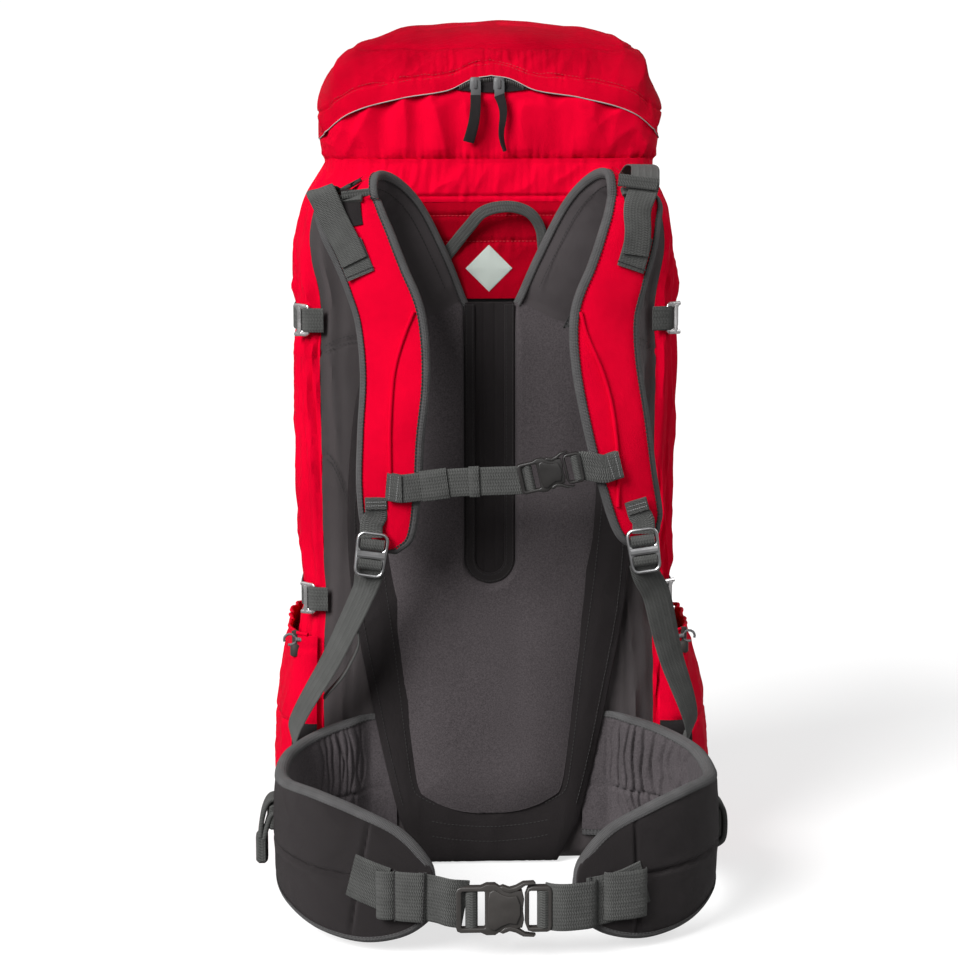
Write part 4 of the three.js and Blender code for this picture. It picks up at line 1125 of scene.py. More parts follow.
def make_zip():
    """Zip tape with its teeth, two sliders and their tape pulls."""
    x = np.linspace(-36, 36, 40)
    top = smooth(FLAP_EDGE, "z", np.abs(x), "across")
    low = np.minimum(ZIP_FOOT + 0.0026 * x**2, top - 0.3)
    rows = np.linspace(0, 1, 8)[:, None]
    base = lid_at(x[None, :], low + (top - low) * rows, -LAP + 1.6)
    shape = Shape()
    shape.wall(base, 0.9, joined(x[None, :], 17 * rows))
    shape.make("cloth_lid_zip", [BLACK], "black_pad", node="lid_zip")
    teeth = Shape()
    for tooth in np.linspace(-28, 28, 36):
        z = float(smooth(FLAP_EDGE, "z", abs(tooth), "across")) - 4.0
        middle = lid_at(tooth, z, -LAP + 2.3)
        block(teeth, middle, (0.5, 0.7, 1.8))
    teeth.make("zip_teeth", [PLASTIC], "plastic")
    for side, (top_x, foot_x, low) in ZIP_PULLS.items():
        slider = Shape()
        middle = lid_at(top_x, SLIDER, -LAP + 3.4)
        for shift, half in SLIDER_BLOCKS:
            block(slider, middle + np.array(shift), half)
        slider.make("zip_slider_" + side, [GUNMETAL], "metal", sharp=30)
        rows = np.linspace(0, 1, 9)
        sway = 2.0 * np.sin(np.pi * rows * (2 if side == "right" else 1))
        line = lid_at(top_x + (foot_x - top_x) * rows + sway, PULL_TOP + (low - PULL_TOP) * rows, 0.6)
        line[:, 1] -= 1.6 * np.sin(np.pi * rows) + 2.4
        line = spaced(line, 2.0)
        turn = (1.1 if side == "right" else 0.25) * np.linspace(0, 1, len(line)) ** 2
        look = np.stack([np.sin(turn), -np.cos(turn), 0 * turn], -1)
        across, face = facing(line, look)
        pull = Shape()
        taper = np.linspace(0, 1, len(line))
        wide = 4.6 + 0.5 * taper if side == "left" else 4.8 - 3.0 * taper**0.7
        sweep(pull, line, across, face, wide, 1.1)
        pull.make("cloth_zip_pull_" + side, [BLACK], "black_pad", node="zip_pull_" + side)


BOX = np.array([(-1, -0.6), (-0.6, -1), (0.6, -1), (1, -0.6), (1, 0.6), (0.6, 1), (-0.6, 1), (-1, 0.6)])


def block(shape, middle, half):
    """A small box with softened ends, given by its half width, depth and height."""
    line = middle + UPWARD * np.array([-1, -0.8, 0.8, 1])[:, None] * half[2]
    size = np.array([0.7, 1, 1, 0.7])
    sweep(shape, line, RIGHTWARD, -OUTWARD, half[0] * size, half[1] * size, BOX)


def make_yoke():
    """The red panel between the strap tops, with two puckered rows of stitching and a bare patch."""
    z = np.linspace(*YOKE["z"][[0, -1]], 52)[:, None]
    share = np.linspace(-1, 1, 110)[None, :]
    x = share * smooth(YOKE, "half", z)
    rows = -1.7 * sum(bell(z - level, 2.0) for level in YOKE_ROWS)
    near = np.minimum(*(np.abs(z - level) for level in YOKE_ROWS)) + 0 * x
    moved = 2.6 + 1.2 * rows + 2.2 * puckers(near, x + 0.1 * z, 4.6, 6.0, 91)
    moved += 0.9 * creases(x, z + 0 * x, 60.0, 24.0, 20.0, 92)
    moved = moved * np.clip((1 - np.abs(share)) * 9, 0.3, 1) * limited((608 - z) / 8)
    outer = joined(x, bag_back_y(x, z + 0 * x) - WALL - np.maximum(moved, 0), z)
    shape = Shape()
    shape.wall(outer, WALL, joined(x, z))
    # The yoke's darker red is painted shadow from the lid and the straps, on the same red nylon
    made = shape.make("cloth_back_yoke", [RED_YOKE_PAINTED_SHADOW], "red_nylon", node="back_yoke")
    angle = np.linspace(0, 2 * np.pi, 64, endpoint=False)
    corner = 1.0 / (np.abs(np.cos(angle)) + np.abs(np.sin(angle)))
    rim = PATCH_HALF * np.stack([np.cos(angle) * corner, 0 * angle, np.sin(angle) * corner], -1)
    patch = Shape()
    steps = ((1, 0), (0.99, 0.8), (0.93, 1.1), (0.02, 1.2))
    rings = np.stack([rim * s + np.array([0, BACK - 4.6 - lift, PATCH_HEIGHT]) for s, lift in steps])
    patch.grid(rings, closed(rings)[..., [0, 2]], close=True)
    patch.polygon(rings[0])
    patch.polygon(rings[-1])
    patch.make("yoke_patch", [PATCH], "webbing")
    for level in YOKE_ROWS:
        half = float(smooth(YOKE, "half", np.array(level))) - 6
        stitch_row(RED_SEAMS, at(np.linspace(-half, half, 80), 3.2, level), OUTWARD)


# Stitching

RED_SEAMS = Shape()
DARK_SEAMS = Shape()
PALE_SEAMS = Shape()
PANEL_STITCH = (3.6, 2.4, 0.45)  # pitch, length and radius of the stitches on the back


def stitch_row(shape, line, look, pitch=3.4, long=2.3, radius=0.4):
    """A row of raised stitches along a line."""
    look = np.broadcast_to(look, np.shape(line))
    line = spaced(line, pitch)
    along = tangents(line)
    look = look[np.linspace(0, len(look) - 1, len(line)).round().astype(int)]
    side, face = facing(line, look)
    ring = np.array([(-1, -0.4), (-0.5, 0.7), (0.5, 0.7), (1, -0.4)])
    ends = np.array([-0.5, -0.2, 0.2, 0.5]) * long
    size = np.array([0.4, 1.0, 1.0, 0.4]) * radius
    for i in range(len(line)):
        middle = line[i] + along[i] * ends[:, None]
        sweep(shape, middle, side[i], face[i], size, size, ring)


# Webbing


def web(
    name, points, width, away_from=None, look=None, node=None,
    hem_start=0.0, hem_end=0.0, material=None, rows=(),
):
    """Webbing along a curve, folded back and stitched at its hemmed ends."""
    line = spaced(points, WEB_STEP)
    side, face = facing(line, unit(line - away_from) if look is None else look)
    wave = 0.25 * noise(np.arange(len(line)) / 5.0, 0.5, len(name) + int(width))
    line = line + face * wave[:, None]
    shape = Shape()
    sweep(shape, line, side, face, width / 2, WEB_THICK / 2)
    for length, first in ((hem_start, True), (hem_end, False)):
        count = max(4, int(length / WEB_STEP) + 1)
        if length:
            part = slice(0, count) if first else slice(len(line) - count, len(line))
            over = line[part] + face[part] * (WEB_THICK + 0.25)
            sweep(shape, over, side[part], face[part], width / 2 - 0.4, WEB_THICK / 2)
            for place in (1, count - 2):
                ends = side[part][place] * np.linspace(-0.8, 0.8, 6)[:, None] * width / 2
                row = over[place] + face[part][place] * (WEB_THICK / 2 + 0.1) + ends
                stitch_row(PALE_SEAMS, row, face[part][place], 2.0, 1.3, 0.35)
    for place in rows:
        ends = side[place] * np.linspace(-0.5, 0.5, 8)[:, None] * width
        row = line[place] + face[place] * (WEB_THICK / 2 + 0.2) + ends
        stitch_row(DARK_SEAMS, row, face[place], 2.4, 2.1, 0.7)
    shape.make(name, [material or WEBBING], "webbing", node=node)
    return line, face


def keeper(name, middle, along, look, width, tall, swell=2.2):
    """A loop of webbing or elastic round a strap."""
    line = middle + unit(along) * np.linspace(-0.5, 0.5, 7)[:, None] * tall
    side, face = facing(line, look)
    rise = WEB_THICK * 0.9 + swell * np.sin(np.linspace(0.12, np.pi - 0.12, 7)) ** 0.5
    shape = Shape()
    sweep(shape, line, side, face, width / 2 + 1.2, rise)
    shape.make(name, [WEBBING], "webbing")


# Back pads


def back_grid(tab, z, columns):
    """Places across and heights over a panel, closer together near its sides."""
    share = np.linspace(-1, 1, columns)[None, :]
    share = np.sin(share * np.pi / 2 * 0.86) / math.sin(np.pi / 2 * 0.86)
    return share * smooth(tab, "half", z)[:, None], np.broadcast_to(z[:, None], (len(z), columns))


def edge_distance(x, z, tab):
    """Distance from each place to the sides and the foot of a panel."""
    level = np.linspace(tab["z"][0], tab["z"][-1], 600)
    half = smooth(tab, "half", level)
    rim = np.stack([np.append([0.0], half), np.append(level[:1], level)], -1)
    lengths = run(rim, 0)
    even = np.linspace(0, lengths[-1], 420)
    rim_x = np.interp(even, lengths, rim[:, 0])
    rim_z = np.interp(even, lengths, rim[:, 1])
    return np.hypot(np.abs(x)[..., None] - rim_x, z[..., None] - rim_z).min(-1)


def rounded_edge(distance, reach):
    """From 0 at an edge up to 1 at some reach from it, as a round shoulder."""
    t = limited(distance / reach)
    return np.sqrt(np.maximum(1 - (1 - t) ** 2.4, 0))


def pad_solid(node, x, z, floor, lift, materials, slot, rim):
    """A padded panel on the back: a flat underside and a swollen face."""
    shape = Shape()
    shape.shell(at(x, floor + rim + lift, z), at(x, floor + 0 * x, z), np.stack([x, z], -1))
    return shape.make("cloth_" + node, materials, slot, sharp=70, node=node)


def channel_inside(x, z):
    """Distance inside the spine channel's outline, negative outside it."""
    half = CHANNEL["half"]
    centre = CHANNEL["low"] + half
    return half - np.where(z >= centre, np.abs(x), np.hypot(x, z - centre))


def make_back():
    z = np.linspace(*BORDER["z"][[0, -1]], 130)
    x, zz = back_grid(BORDER, z, 60)
    shoulder = rounded_edge(edge_distance(x, zz, BORDER), 22.0)
    lift = (BORDER_THICK - 2.9 + 0.7 * creases(x, zz, 120.0, 40.0, 5.0, 101)) * shoulder
    border = pad_solid("back_border", x, zz, 0.4, lift, [BLACK], "black_pad", 2.5)
    inflate(border, lambda p: (p[:, 1] > BACK - 3.2) | (np.abs(p[:, 0]) < 60), pressure=1.2, cap=2.0)
    make_pad()
    make_channel()
    z = np.linspace(58, 470, 120)
    for way in (-1, 1):
        for x in (smooth(BORDER, "half", z) - 7.0, smooth(PAD, "half", z) + 5.0):
            stitch_row(DARK_SEAMS, on_face(border, way * x, z, 0.2), OUTWARD, *PANEL_STITCH)
    x = np.linspace(-52, 52, 60)
    for level in (22.0, 36.0):
        stitch_row(DARK_SEAMS, on_face(border, x, level + 0.002 * x**2, 0.2), OUTWARD, *PANEL_STITCH)


def make_pad():
    """The grey pad, with a trench for the spine channel and columns that follow its edges."""
    foot, top = PAD["z"][[0, -1]]
    z = np.concatenate([
        np.linspace(foot, 70, 14),
        np.linspace(70, 490, 120)[1:],
        np.linspace(490, top, 16)[1:],
    ])
    half = smooth(PAD, "half", z)[:, None]
    inner = np.minimum(CHANNEL["half"] - 2.0, 0.5 * half)
    outer = np.minimum(CHANNEL["half"] + 2.5, 0.7 * half)
    right = np.concatenate([
        inner * np.linspace(0, 1, 9)[1:],
        inner + (outer - inner) * np.linspace(0, 1, 6)[1:],
        outer + (half - outer) * np.sin(np.linspace(0, np.pi / 2, 24)[1:]),
    ], 1)
    x = np.concatenate([-right[:, ::-1], 0 * half, right], 1)
    zz = np.broadcast_to(z[:, None], x.shape)
    edge = edge_distance(x, zz, PAD)
    lift = (PAD_THICK - 1.8) * (1 - limited(1 - edge / 40.0) ** 2.2)
    lift = lift + 0.8 * noise(x / 50.0, zz / 70.0, 111) * rounded_edge(edge, 30.0)
    trench = eased((channel_inside(x, zz) + 2.5) / 4.0)
    lift = lift * (1 - trench) + 0.2 * trench
    pad = pad_solid("back_pad", x, zz, 8.6, lift, [GREY_MESH], "grey_pad", 0.8)
    inflate(pad, lambda p: (p[:, 1] > BACK - 11.0) | (np.abs(p[:, 0]) < 27), pressure=1.0, cap=1.6)


def on_face(made, x, z, lift):
    """Places on the face that a pad turns toward the wearer."""
    found = mesh_points(made.data) / MM
    x, z = np.broadcast_arrays(x, z)
    y = []
    for across, high in zip(x, z):
        near = np.argsort((found[:, 0] - across) ** 2 + (found[:, 2] - high) ** 2)[:8]
        y.append(found[near, 1].min() - lift)
    return np.stack([x, np.array(y), z], -1)


def make_channel():
    """The dark strip down the middle of the pad, with a tape stitched round it."""
    half = CHANNEL["half"] - 0.6
    low = CHANNEL["low"] + 0.6
    centre = low + half
    foot = low + half * (1 - np.cos(np.linspace(0.12, np.pi / 2, 16)))
    z = np.concatenate([foot, np.linspace(centre, CHANNEL["high"], 60)[1:]])
    wide = np.where(z < centre, np.sqrt(np.maximum(half**2 - (centre - z) ** 2, 1.0)), half)
    share = np.linspace(-1, 1, 40)[None, :]
    x = share * wide[:, None]
    zz = np.broadcast_to(z[:, None], x.shape)
    inside = channel_inside(x, zz)
    grooves = 0.6 * bell(np.abs(x) - 5.0, 0.9)
    lift = 0.7 + 0.6 * limited(inside / 3) - grooves + 0.35 * noise(x / 9.0, zz / 24.0, 121)
    shape = Shape()
    shape.shell(at(x, 9.6 + lift, zz), at(x, 9.5 + 0 * x, zz), np.stack([x, zz], -1))
    made = shape.make("cloth_spine_channel", [BLACK], "black_pad", sharp=60, node="spine_channel")
    bend = np.linspace(0, -np.pi, 24)
    top = CHANNEL["high"] - 2.0

    def around(inset, out):
        """A line inside the channel's outline, down one side, round its foot and up the other."""
        reach = half - inset
        return np.concatenate([
            at(np.full(20, reach), out, np.linspace(top, centre, 20)),
            at(reach * np.cos(bend), out, centre + reach * np.sin(bend))[1:-1],
            at(np.full(20, -reach), out, np.linspace(centre, top, 20)),
        ])

    tape = Shape()
    line = spaced(around(4.6, 12.2), 2.5)
    sweep(tape, line, *facing(line, OUTWARD), 4.6, 1.3)
    tape.make("channel_tape", [BELT], "black_pad")
    for inset in (1.8, 7.4):
        stitch_row(DARK_SEAMS, around(inset, 13.6), OUTWARD)


# Shoulder straps


def strap_frame(side, place):
    """Middle, neckward and outward directions and half width at places along a strap."""
    rows = STRAPS[side]

    def middle(where):
        return at(*(smooth(rows, key, where, "place") for key in ("across", "out", "z")))

    place = np.asarray(place, float)
    along = unit(middle(np.minimum(place + 0.02, STRAP_LAST)) - middle(np.maximum(place - 0.02, 0)))
    tilt = np.radians(smooth(rows, "tilt", place, "place"))
    turn = math.radians(STRAP_TURN) * limited((place - 5.0) / 2.5)
    neck = np.stack([-np.cos(tilt) * np.cos(turn), -np.sin(turn), np.sin(tilt)], -1)
    neck = unit(neck - along * (neck * along).sum(-1, keepdims=True))
    face = np.cross(neck, along)
    half = smooth(rows, "width", place, "place") / 2
    return mirror(middle(place), side), mirror(neck, side), mirror(face, side), half


def strap_rise(share):
    """Half thickness of a strap from its middle to its edges."""
    return STRAP_THICK / 2 * (0.22 + 0.74 * np.maximum(1 - np.asarray(share) ** 2, 0) ** 0.75)


def on_strap(side, place, share, lift):
    middle, neck, face, half = strap_frame(side, place)
    return middle + neck * (np.asarray(share) * half)[..., None] + face * np.asarray(lift)[..., None]


def strap_place(side, z):
    """The place on the falling part of a strap at a height."""
    rows = STRAPS[side]
    dense = np.linspace(4.6, STRAP_LAST, 600)
    heights = smooth(rows, "z", dense, "place")
    return np.interp(-np.asarray(z, float), -heights, dense)


def inward_of(line, face, heart):
    """Directions from an edge into its panel, evened out along the edge."""
    inward = np.cross(face, tangents(line))
    return averaged(inward * np.sign((inward * (heart - line)).sum(1, keepdims=True)))


def edge_binding(shape, line, inward, face, rise, wide=BINDING):
    """Tape folded over a padded edge: a U section swept along the edge."""
    depth = np.array([1.0, 0.62, 0.25, 0.0, -0.16, -0.2])
    tops = []
    for share in depth:
        height = rise(limited(share) * wide) + BINDING_THICK * (0.4 + 0.6 * (share < 1))
        height = height * (1.0 if share >= 0 else 0.55 if share > -0.18 else 0.0)
        tops.append((share * wide, height))
    ring = np.array(tops + [(a, -b) for a, b in tops[-2::-1]])
    inner = np.array([(a + 0.5, b * 0.55) for a, b in ring[::-1]])[1:-1]
    section = np.concatenate([ring, inner])
    rings = line[:, None] + inward[:, None] * section[None, :, :1] + face[:, None] * section[None, :, 1:]
    spread = np.arange(len(section) + 1) * 1.6
    capped(shape, rings, joined(spread[None, :], run(line, 0)[:, None]))


def make_strap(side, seed):
    place = np.concatenate([np.zeros(6), np.linspace(0, STRAP_LAST, 170)])[:, None]
    share = np.linspace(-1, 1, 25)[None, :]
    middle, neck, face, half = strap_frame(side, place[:, 0])
    middle = middle + np.array([0, 4.0, 0]) * limited(1 - place / 1.1)
    middle[:6] -= unit(middle[8] - middle[6]) * np.linspace(22, 3, 6)[:, None]
    flat = middle[:, None] + neck[:, None] * (share * half[:, None])[..., None]
    tip = limited((STRAP_LAST - place) * 2.2 + 0.35)
    rise = strap_rise(share) * tip * np.clip(place * 1.5 + 0.5, 0.5, 1)
    u = share * half[:, None]
    v = run(middle[:, None], 0) + 0 * u
    bend = bell(place - 4.2, 1.6)
    soft = limited((1 - np.abs(share)) * 3.2 - 0.5)
    crumple = 1.5 * bend * creases(v, u, 60.0, 12.0, 6.0, seed)
    crumple += 0.5 * creases(v, u, 40.0, 22.0, 30.0, seed + 1)
    swell = 0.5 * creases(u, v, 90.0, 30.0, 10.0, seed + 2)
    swell -= 0.8 * bend * noise(v / 16.0, u / 60.0, seed + 3)
    outer = flat + face[:, None] * (rise + swell * soft)[..., None]
    inner = flat - face[:, None] * (rise + crumple * soft)[..., None]
    shape = Shape()
    shape.shell(outer, inner, np.stack([u, v], -1), inside=1, rim=1)
    node = "shoulder_strap_" + side
    made = shape.make("cloth_" + node, [RED, LINING], "red_nylon", sharp=60, node=node)
    rims = flat[::4, [0, 1, 2, -3, -2, -1]].reshape(-1, 3)
    inflate(made, held_near(rims, 8.0), pressure=2.0, cap=1.6)

    end = flat[-1, 3:-3:3] + unit(middle[-1] - middle[-4]) * 1.5
    line = spaced(np.concatenate([flat[:, 0], end, flat[::-1, -1]]), 3.0)
    nearest = np.array([((middle - p) ** 2).sum(1).argmin() for p in line])
    inward = inward_of(line, face[nearest], middle[np.clip(nearest - 2, 0, None)])
    out_face = averaged(face[nearest])
    tape = Shape()
    edge_binding(tape, line, inward, out_face, lambda d: float(strap_rise(1 - d / 28.0)) + 0.5)
    tape.make("strap_binding_" + side, [TAPE], "webbing")
    for lift in (1, -1):
        row = line + inward * (BINDING * 0.97) + out_face * lift * 4.6
        stitch_row(DARK_SEAMS, row, out_face * lift, 3.2, 2.7, 0.8)
    places = np.linspace(0.4, 3.9, 40)
    row = on_strap(side, places, np.full(40, 0.5), np.full(40, -float(strap_rise(0.5)) - 1.5))
    stitch_row(DARK_SEAMS, row, -strap_frame(side, places)[2], 3.4, 2.4, 0.42)
    make_welt(side)


# Welts on the straps' faces, by distance across and height
WELTS = {
    "left": ((67.8, 513), (74.9, 498), (81.2, 480), (85.0, 463), (87.1, 441), (88.4, 415), (88.1, 372)),
    "right": (
        (70, 513), (78, 498), (86, 480), (93, 463), (100, 437), (104.5, 406), (106.5, 380), (107, 352),
    ),
}


def make_welt(side):
    """A raised cord of piping down the strap's face."""
    line = []
    for across, z in WELTS[side]:
        place = strap_place(side, z)
        middle, neck, _, half = strap_frame(side, place)
        share = np.clip((across * SIDES[side] - middle[0]) / (neck[0] * half), -0.8, 0.8)
        line.append(on_strap(side, place, share, strap_rise(share) + 1.3))
    shape = Shape()
    tube(shape, np.array(line), 1.7)
    shape.make("strap_welt_" + side, [RED], "red_nylon")


# Hip belt


def wing_frame(side, place):
    """Plan, outward directions, lower and upper heights at places along a wing."""
    place = np.asarray(place, float)

    def plan(where):
        return at(smooth(WING, "across", where, "place"), smooth(WING, "out", where, "place"), 0.0)

    along = unit(plan(np.minimum(place + 0.02, WING_LAST)) - plan(np.maximum(place - 0.02, 0)))
    face = np.stack([-along[..., 1], along[..., 0], 0 * place], -1)
    outward = plan(place) - at(0.0, 130.0, 0.0)
    face = face * np.sign((face * outward).sum(-1, keepdims=True))
    low = smooth(WING, "low", place, "place")
    high = smooth(WING, "high", place, "place")
    return mirror(plan(place), side), mirror(face, side), low, high


def wing_rise(share):
    """Half thickness of a wing from its lower to its upper edge."""
    return 2.0 + (WING_THICK / 2 - 2.0) * np.maximum(1 - np.abs(2 * share - 1) ** 5, 0) ** 0.5


def on_wing(side, place, share, lift):
    plan, face, low, high = wing_frame(side, place)
    up = low + (high - low) * np.asarray(share)
    return plan + UPWARD * np.asarray(up)[..., None] + face * np.asarray(lift)[..., None]


def wing_root():
    """Where the wing's root lies, under the border pad."""
    dense = np.linspace(0, 2, 200)
    across = smooth(WING, "across", dense, "place")
    return float(np.interp(smooth(BORDER, "half", np.array(85.0)) - 8.0, across, dense))


# The wings' quilting: how far the upright seam leans and stands from the middle, how deep the inner
# cloth's gathers are, and their distances from the middle
QUILTING = {
    "left": {
        "lean": 0.16,
        "foot": 110.0,
        "deep": 0.6,
        "gathers": (116, 121, 126.5, 131, 136, 140, 145.5, 151, 158),
    },
    "right": {
        "lean": 0.03,
        "foot": 106.0,
        "deep": 1.0,
        "gathers": (112, 119, 126, 132, 141, 151, 160, 168, 175, 181),
    },
}
WING_SEAM = 65.0  # height of the seam along the wing's face


def make_wing(side, seed):
    quilting = QUILTING[side]
    place = np.concatenate([np.linspace(wing_root(), 4.4, 210), np.linspace(4.4, WING_LAST, 130)[1:]])
    place = place[:, None]
    share = np.linspace(0, 1, 53)[None, :]
    plan, face, low, high = wing_frame(side, place[:, 0])
    root = eased(1 - (np.abs(plan[:, :1]) - 107) / 24) * (place < 3)
    plan = plan * (1 - root * np.array([0, 1.0, 0])) + np.array([0, BACK - 0.9, 0]) * root
    up = low[:, None] + (high - low)[:, None] * share
    flat = plan[:, None] + UPWARD * up[..., None]
    v = run(plan[:, None], 0) + 0 * up
    soft = 1 - np.abs(2 * share - 1) ** 6
    nose = limited((WING_LAST - place) * 2.0 + 0.3)
    rise = wing_rise(share) * nose * (1 - 0.86 * root)
    across = np.abs(plan[:, :1]) + 0 * up
    upright = across - quilting["foot"] - quilting["lean"] * (105 - up)
    outer_fold = 0.6 * creases(v, up, 60.0, 40.0, 12.0, seed)
    behind = limited(upright / 3) * limited((place - 3.2) / 0.4)
    off_seam = up - WING_SEAM
    outer_fold += (1.0 * bell(off_seam, 10.0) - 3.6 * bell(off_seam, 1.8)) * behind
    outer_fold += (0.6 * bell(upright, 9.0) - 3.2 * bell(upright, 1.7)) * (place > 5)
    inner_fold = 0.6 * creases(v, up, 60.0, 26.0, 20.0, seed + 5)
    level = 73.0 - 0.07 * (across - 90)
    for number, spot in enumerate(quilting["gathers"]):
        bow = 3.0 * ((up - 98) / 30) ** 2 + 2.2 * noise(up / 24.0, number + 0.5, seed + 7)
        groove = bell(across - spot - bow - 4.0 * (up < level), 1.3)
        gather = bell(across - spot - bow - 4.0, 3.0) - 3.2 * groove
        inner_fold += quilting["deep"] * gather * (place < 3.6)
    inner_fold += (0.8 * bell(up - level, 8.0) - 3.4 * bell(up - level, 1.7)) * (place < 4.6)
    free = soft * nose * limited(rise / 5.0)
    outer = flat + face[:, None] * (rise + outer_fold * free)[..., None]
    inner = flat - face[:, None] * (rise + inner_fold * free)[..., None]
    shape = Shape()
    shape.shell(outer, inner, np.stack([v, up], -1), inside=1)
    node = "hip_wing_" + side
    made = shape.make("cloth_" + node, [BELT, WING_MESH], "black_pad", sharp=60, node=node)
    rims = np.concatenate([
        flat[::4, [0, 2, 4, -5, -3, -1]].reshape(-1, 3),
        flat[0, ::2],
        flat[-1, ::2],
    ])
    inflate(made, held_near(rims, 9.0), pressure=2.0, cap=1.6)
    line = spaced(np.concatenate([flat[:, -1], flat[-1, -8:8:-8], flat[::-1, 0]]), 3.2)
    nearest = np.array([(((plan - p) * LEVEL) ** 2).sum(1).argmin() for p in line])
    out_face = face[nearest]
    heart = plan[np.clip(nearest - 3, 0, None)] + UPWARD * ((low + high) / 2)[nearest][:, None]
    inward = inward_of(line, out_face, heart)
    tape = Shape()
    thin = out_face * (1 - 0.8 * root[nearest])
    edge_binding(tape, line, inward, thin, lambda d: float(wing_rise(0.5 * d / 55.0)) + 0.7, wide=5.0)
    tape.make("wing_binding_" + side, [TAPE], "webbing")
    for lift in (1, -1):
        row = line + inward * 4.4 + thin * lift * 5.8
        stitch_row(DARK_SEAMS, row, out_face * lift, 3.4, 2.7, 0.6)


# Pockets

POCKET_FILL = {"left": (0.68, 141), "right": (1.12, 151)}  # how full each is, and the seed of its folds


def make_pocket(side):
    phi = np.linspace(*POCKET_SPAN, 76)[None, :]
    share = (phi - POCKET_SPAN[0]) / (POCKET_SPAN[1] - POCKET_SPAN[0])
    bulge = POCKET_FOOT + 20.0
    z = np.concatenate([np.linspace(POCKET_FOOT, bulge, 14), np.linspace(bulge, POCKET_TOP, 64)[1:]])[:, None]
    swell = np.maximum(np.sin(np.pi * share), 0.0) ** 0.5
    fill, seed = POCKET_FILL[side]
    lift = WALL + fill * smooth(POCKET, "off", z) * swell
    base = bag(phi, z, lift)
    u = run(base, 1)
    v = np.broadcast_to(z, u.shape)
    hem = np.exp(-(POCKET_TOP - v) / 22.0)
    moved = 2.4 * hem * noise(u / 9.0, v / 90.0, seed)
    moved += 1.4 * creases(u, v, 90.0, 26.0, 10.0, seed + 1) * swell
    moved += 0.7 * creases(u, v, 40.0, 13.0, -35.0, seed + 2) * swell
    moved -= 1.8 * bell(v - POCKET_SEAM, 2.2) + 1.5 * bell(v - POCKET_TOP + 12.0, 1.8)
    outer = base + normals(base) * (np.clip(moved, -2.2, 3.0) * limited(8 * swell))[..., None]
    shape = Shape()
    uv = np.stack([u, v], -1)
    inner = mirror(outer - normals(outer) * 1.2, side)
    face = mirror(outer, side)
    row = int(np.argmax(z[:, 0] > POCKET_SEAM))
    gusset = int(np.argmax(share[0] > 0.09))
    low = slice(0, row + 1)
    for part, slot in (
        ((low, slice(0, gusset + 1)), 1),
        ((low, slice(gusset, None)), 0),
        ((slice(row, None), slice(None)), 0),
    ):
        shape.grid(face[part], uv[part], slot)
        shape.grid(inner[part], uv[part], slot)
    shape.rims(face, inner, uv)
    node = "side_pocket_" + side
    made = shape.make("cloth_" + node, [RED, BLACK], "red_nylon", node=node)
    cord = Shape()
    tube(cord, (face[-1, 3:-3] + UPWARD)[::3], 1.7)
    cord.make("pocket_cord_" + side, [RED], "red_nylon")


# Moulded fittings


def rounded(left, low, right, high, radius, count=5):
    """Corner points of a rounded rectangle."""
    turns = np.linspace(0, np.pi / 2, count)
    corners = ((right, high, 0), (left, high, 1), (left, low, 2), (right, low, 3))
    line = []
    for x, y, quarter in corners:
        angle = turns + quarter * np.pi / 2
        inset_x = x - radius if x == right else x + radius
        inset_y = y - radius if y == high else y + radius
        line.append(np.stack([inset_x + radius * np.cos(angle), inset_y + radius * np.sin(angle)], -1))
    return np.concatenate(line)


class Fitting:
    """Rounded plates in a local frame: right, up and out from a middle."""

    def __init__(self, middle, right, up):
        self.shape = Shape()
        self.middle = np.asarray(middle, float)
        right = unit(np.asarray(right, float))
        up = np.asarray(up, float)
        up = unit(up - right * (up @ right))
        self.axes = np.stack([right, up, np.cross(right, up)])

    def plate(self, outlines, thick, out, bevel):
        """A flat plate with rounded edges: the first outline, with the others as its holes."""
        curve = bpy.data.curves.new("plate", "CURVE")
        curve.dimensions = "2D"
        curve.fill_mode = "BOTH"
        curve.extrude = thick / 2 - bevel
        curve.bevel_depth = bevel
        curve.bevel_resolution = 2
        curve.offset = -bevel
        for line in outlines:
            spline = curve.splines.new("POLY")
            spline.points.add(len(line) - 1)
            flat = np.concatenate([line, np.zeros((len(line), 1)), np.ones((len(line), 1))], 1)
            spline.points.foreach_set("co", flat.ravel())
            spline.use_cyclic_u = True
        holder = bpy.data.objects.new("plate", curve)
        mesh = bpy.data.meshes.new_from_object(holder)
        points = mesh_points(mesh) + np.array([0, 0, out])
        self.shape.mesh(self.middle + points @ self.axes, [list(p.vertices) for p in mesh.polygons])
        bpy.data.objects.remove(holder)
        bpy.data.curves.remove(curve)
        bpy.data.meshes.remove(mesh)

    def bar(self, start, end, radius, out):
        line = np.array([(*start, out), (*end, out)]) @ self.axes + self.middle
        line = line[0] + (line[1] - line[0]) * np.linspace(0, 1, 4)[:, None]
        side = unit(np.cross(tangents(line), self.axes[2]))
        sweep(self.shape, line, side, self.axes[2], radius, radius, ROUND)

    def make(self, node, material, slot):
        self.shape.make("fitting_" + node, [material], slot, sharp=35, node=node)


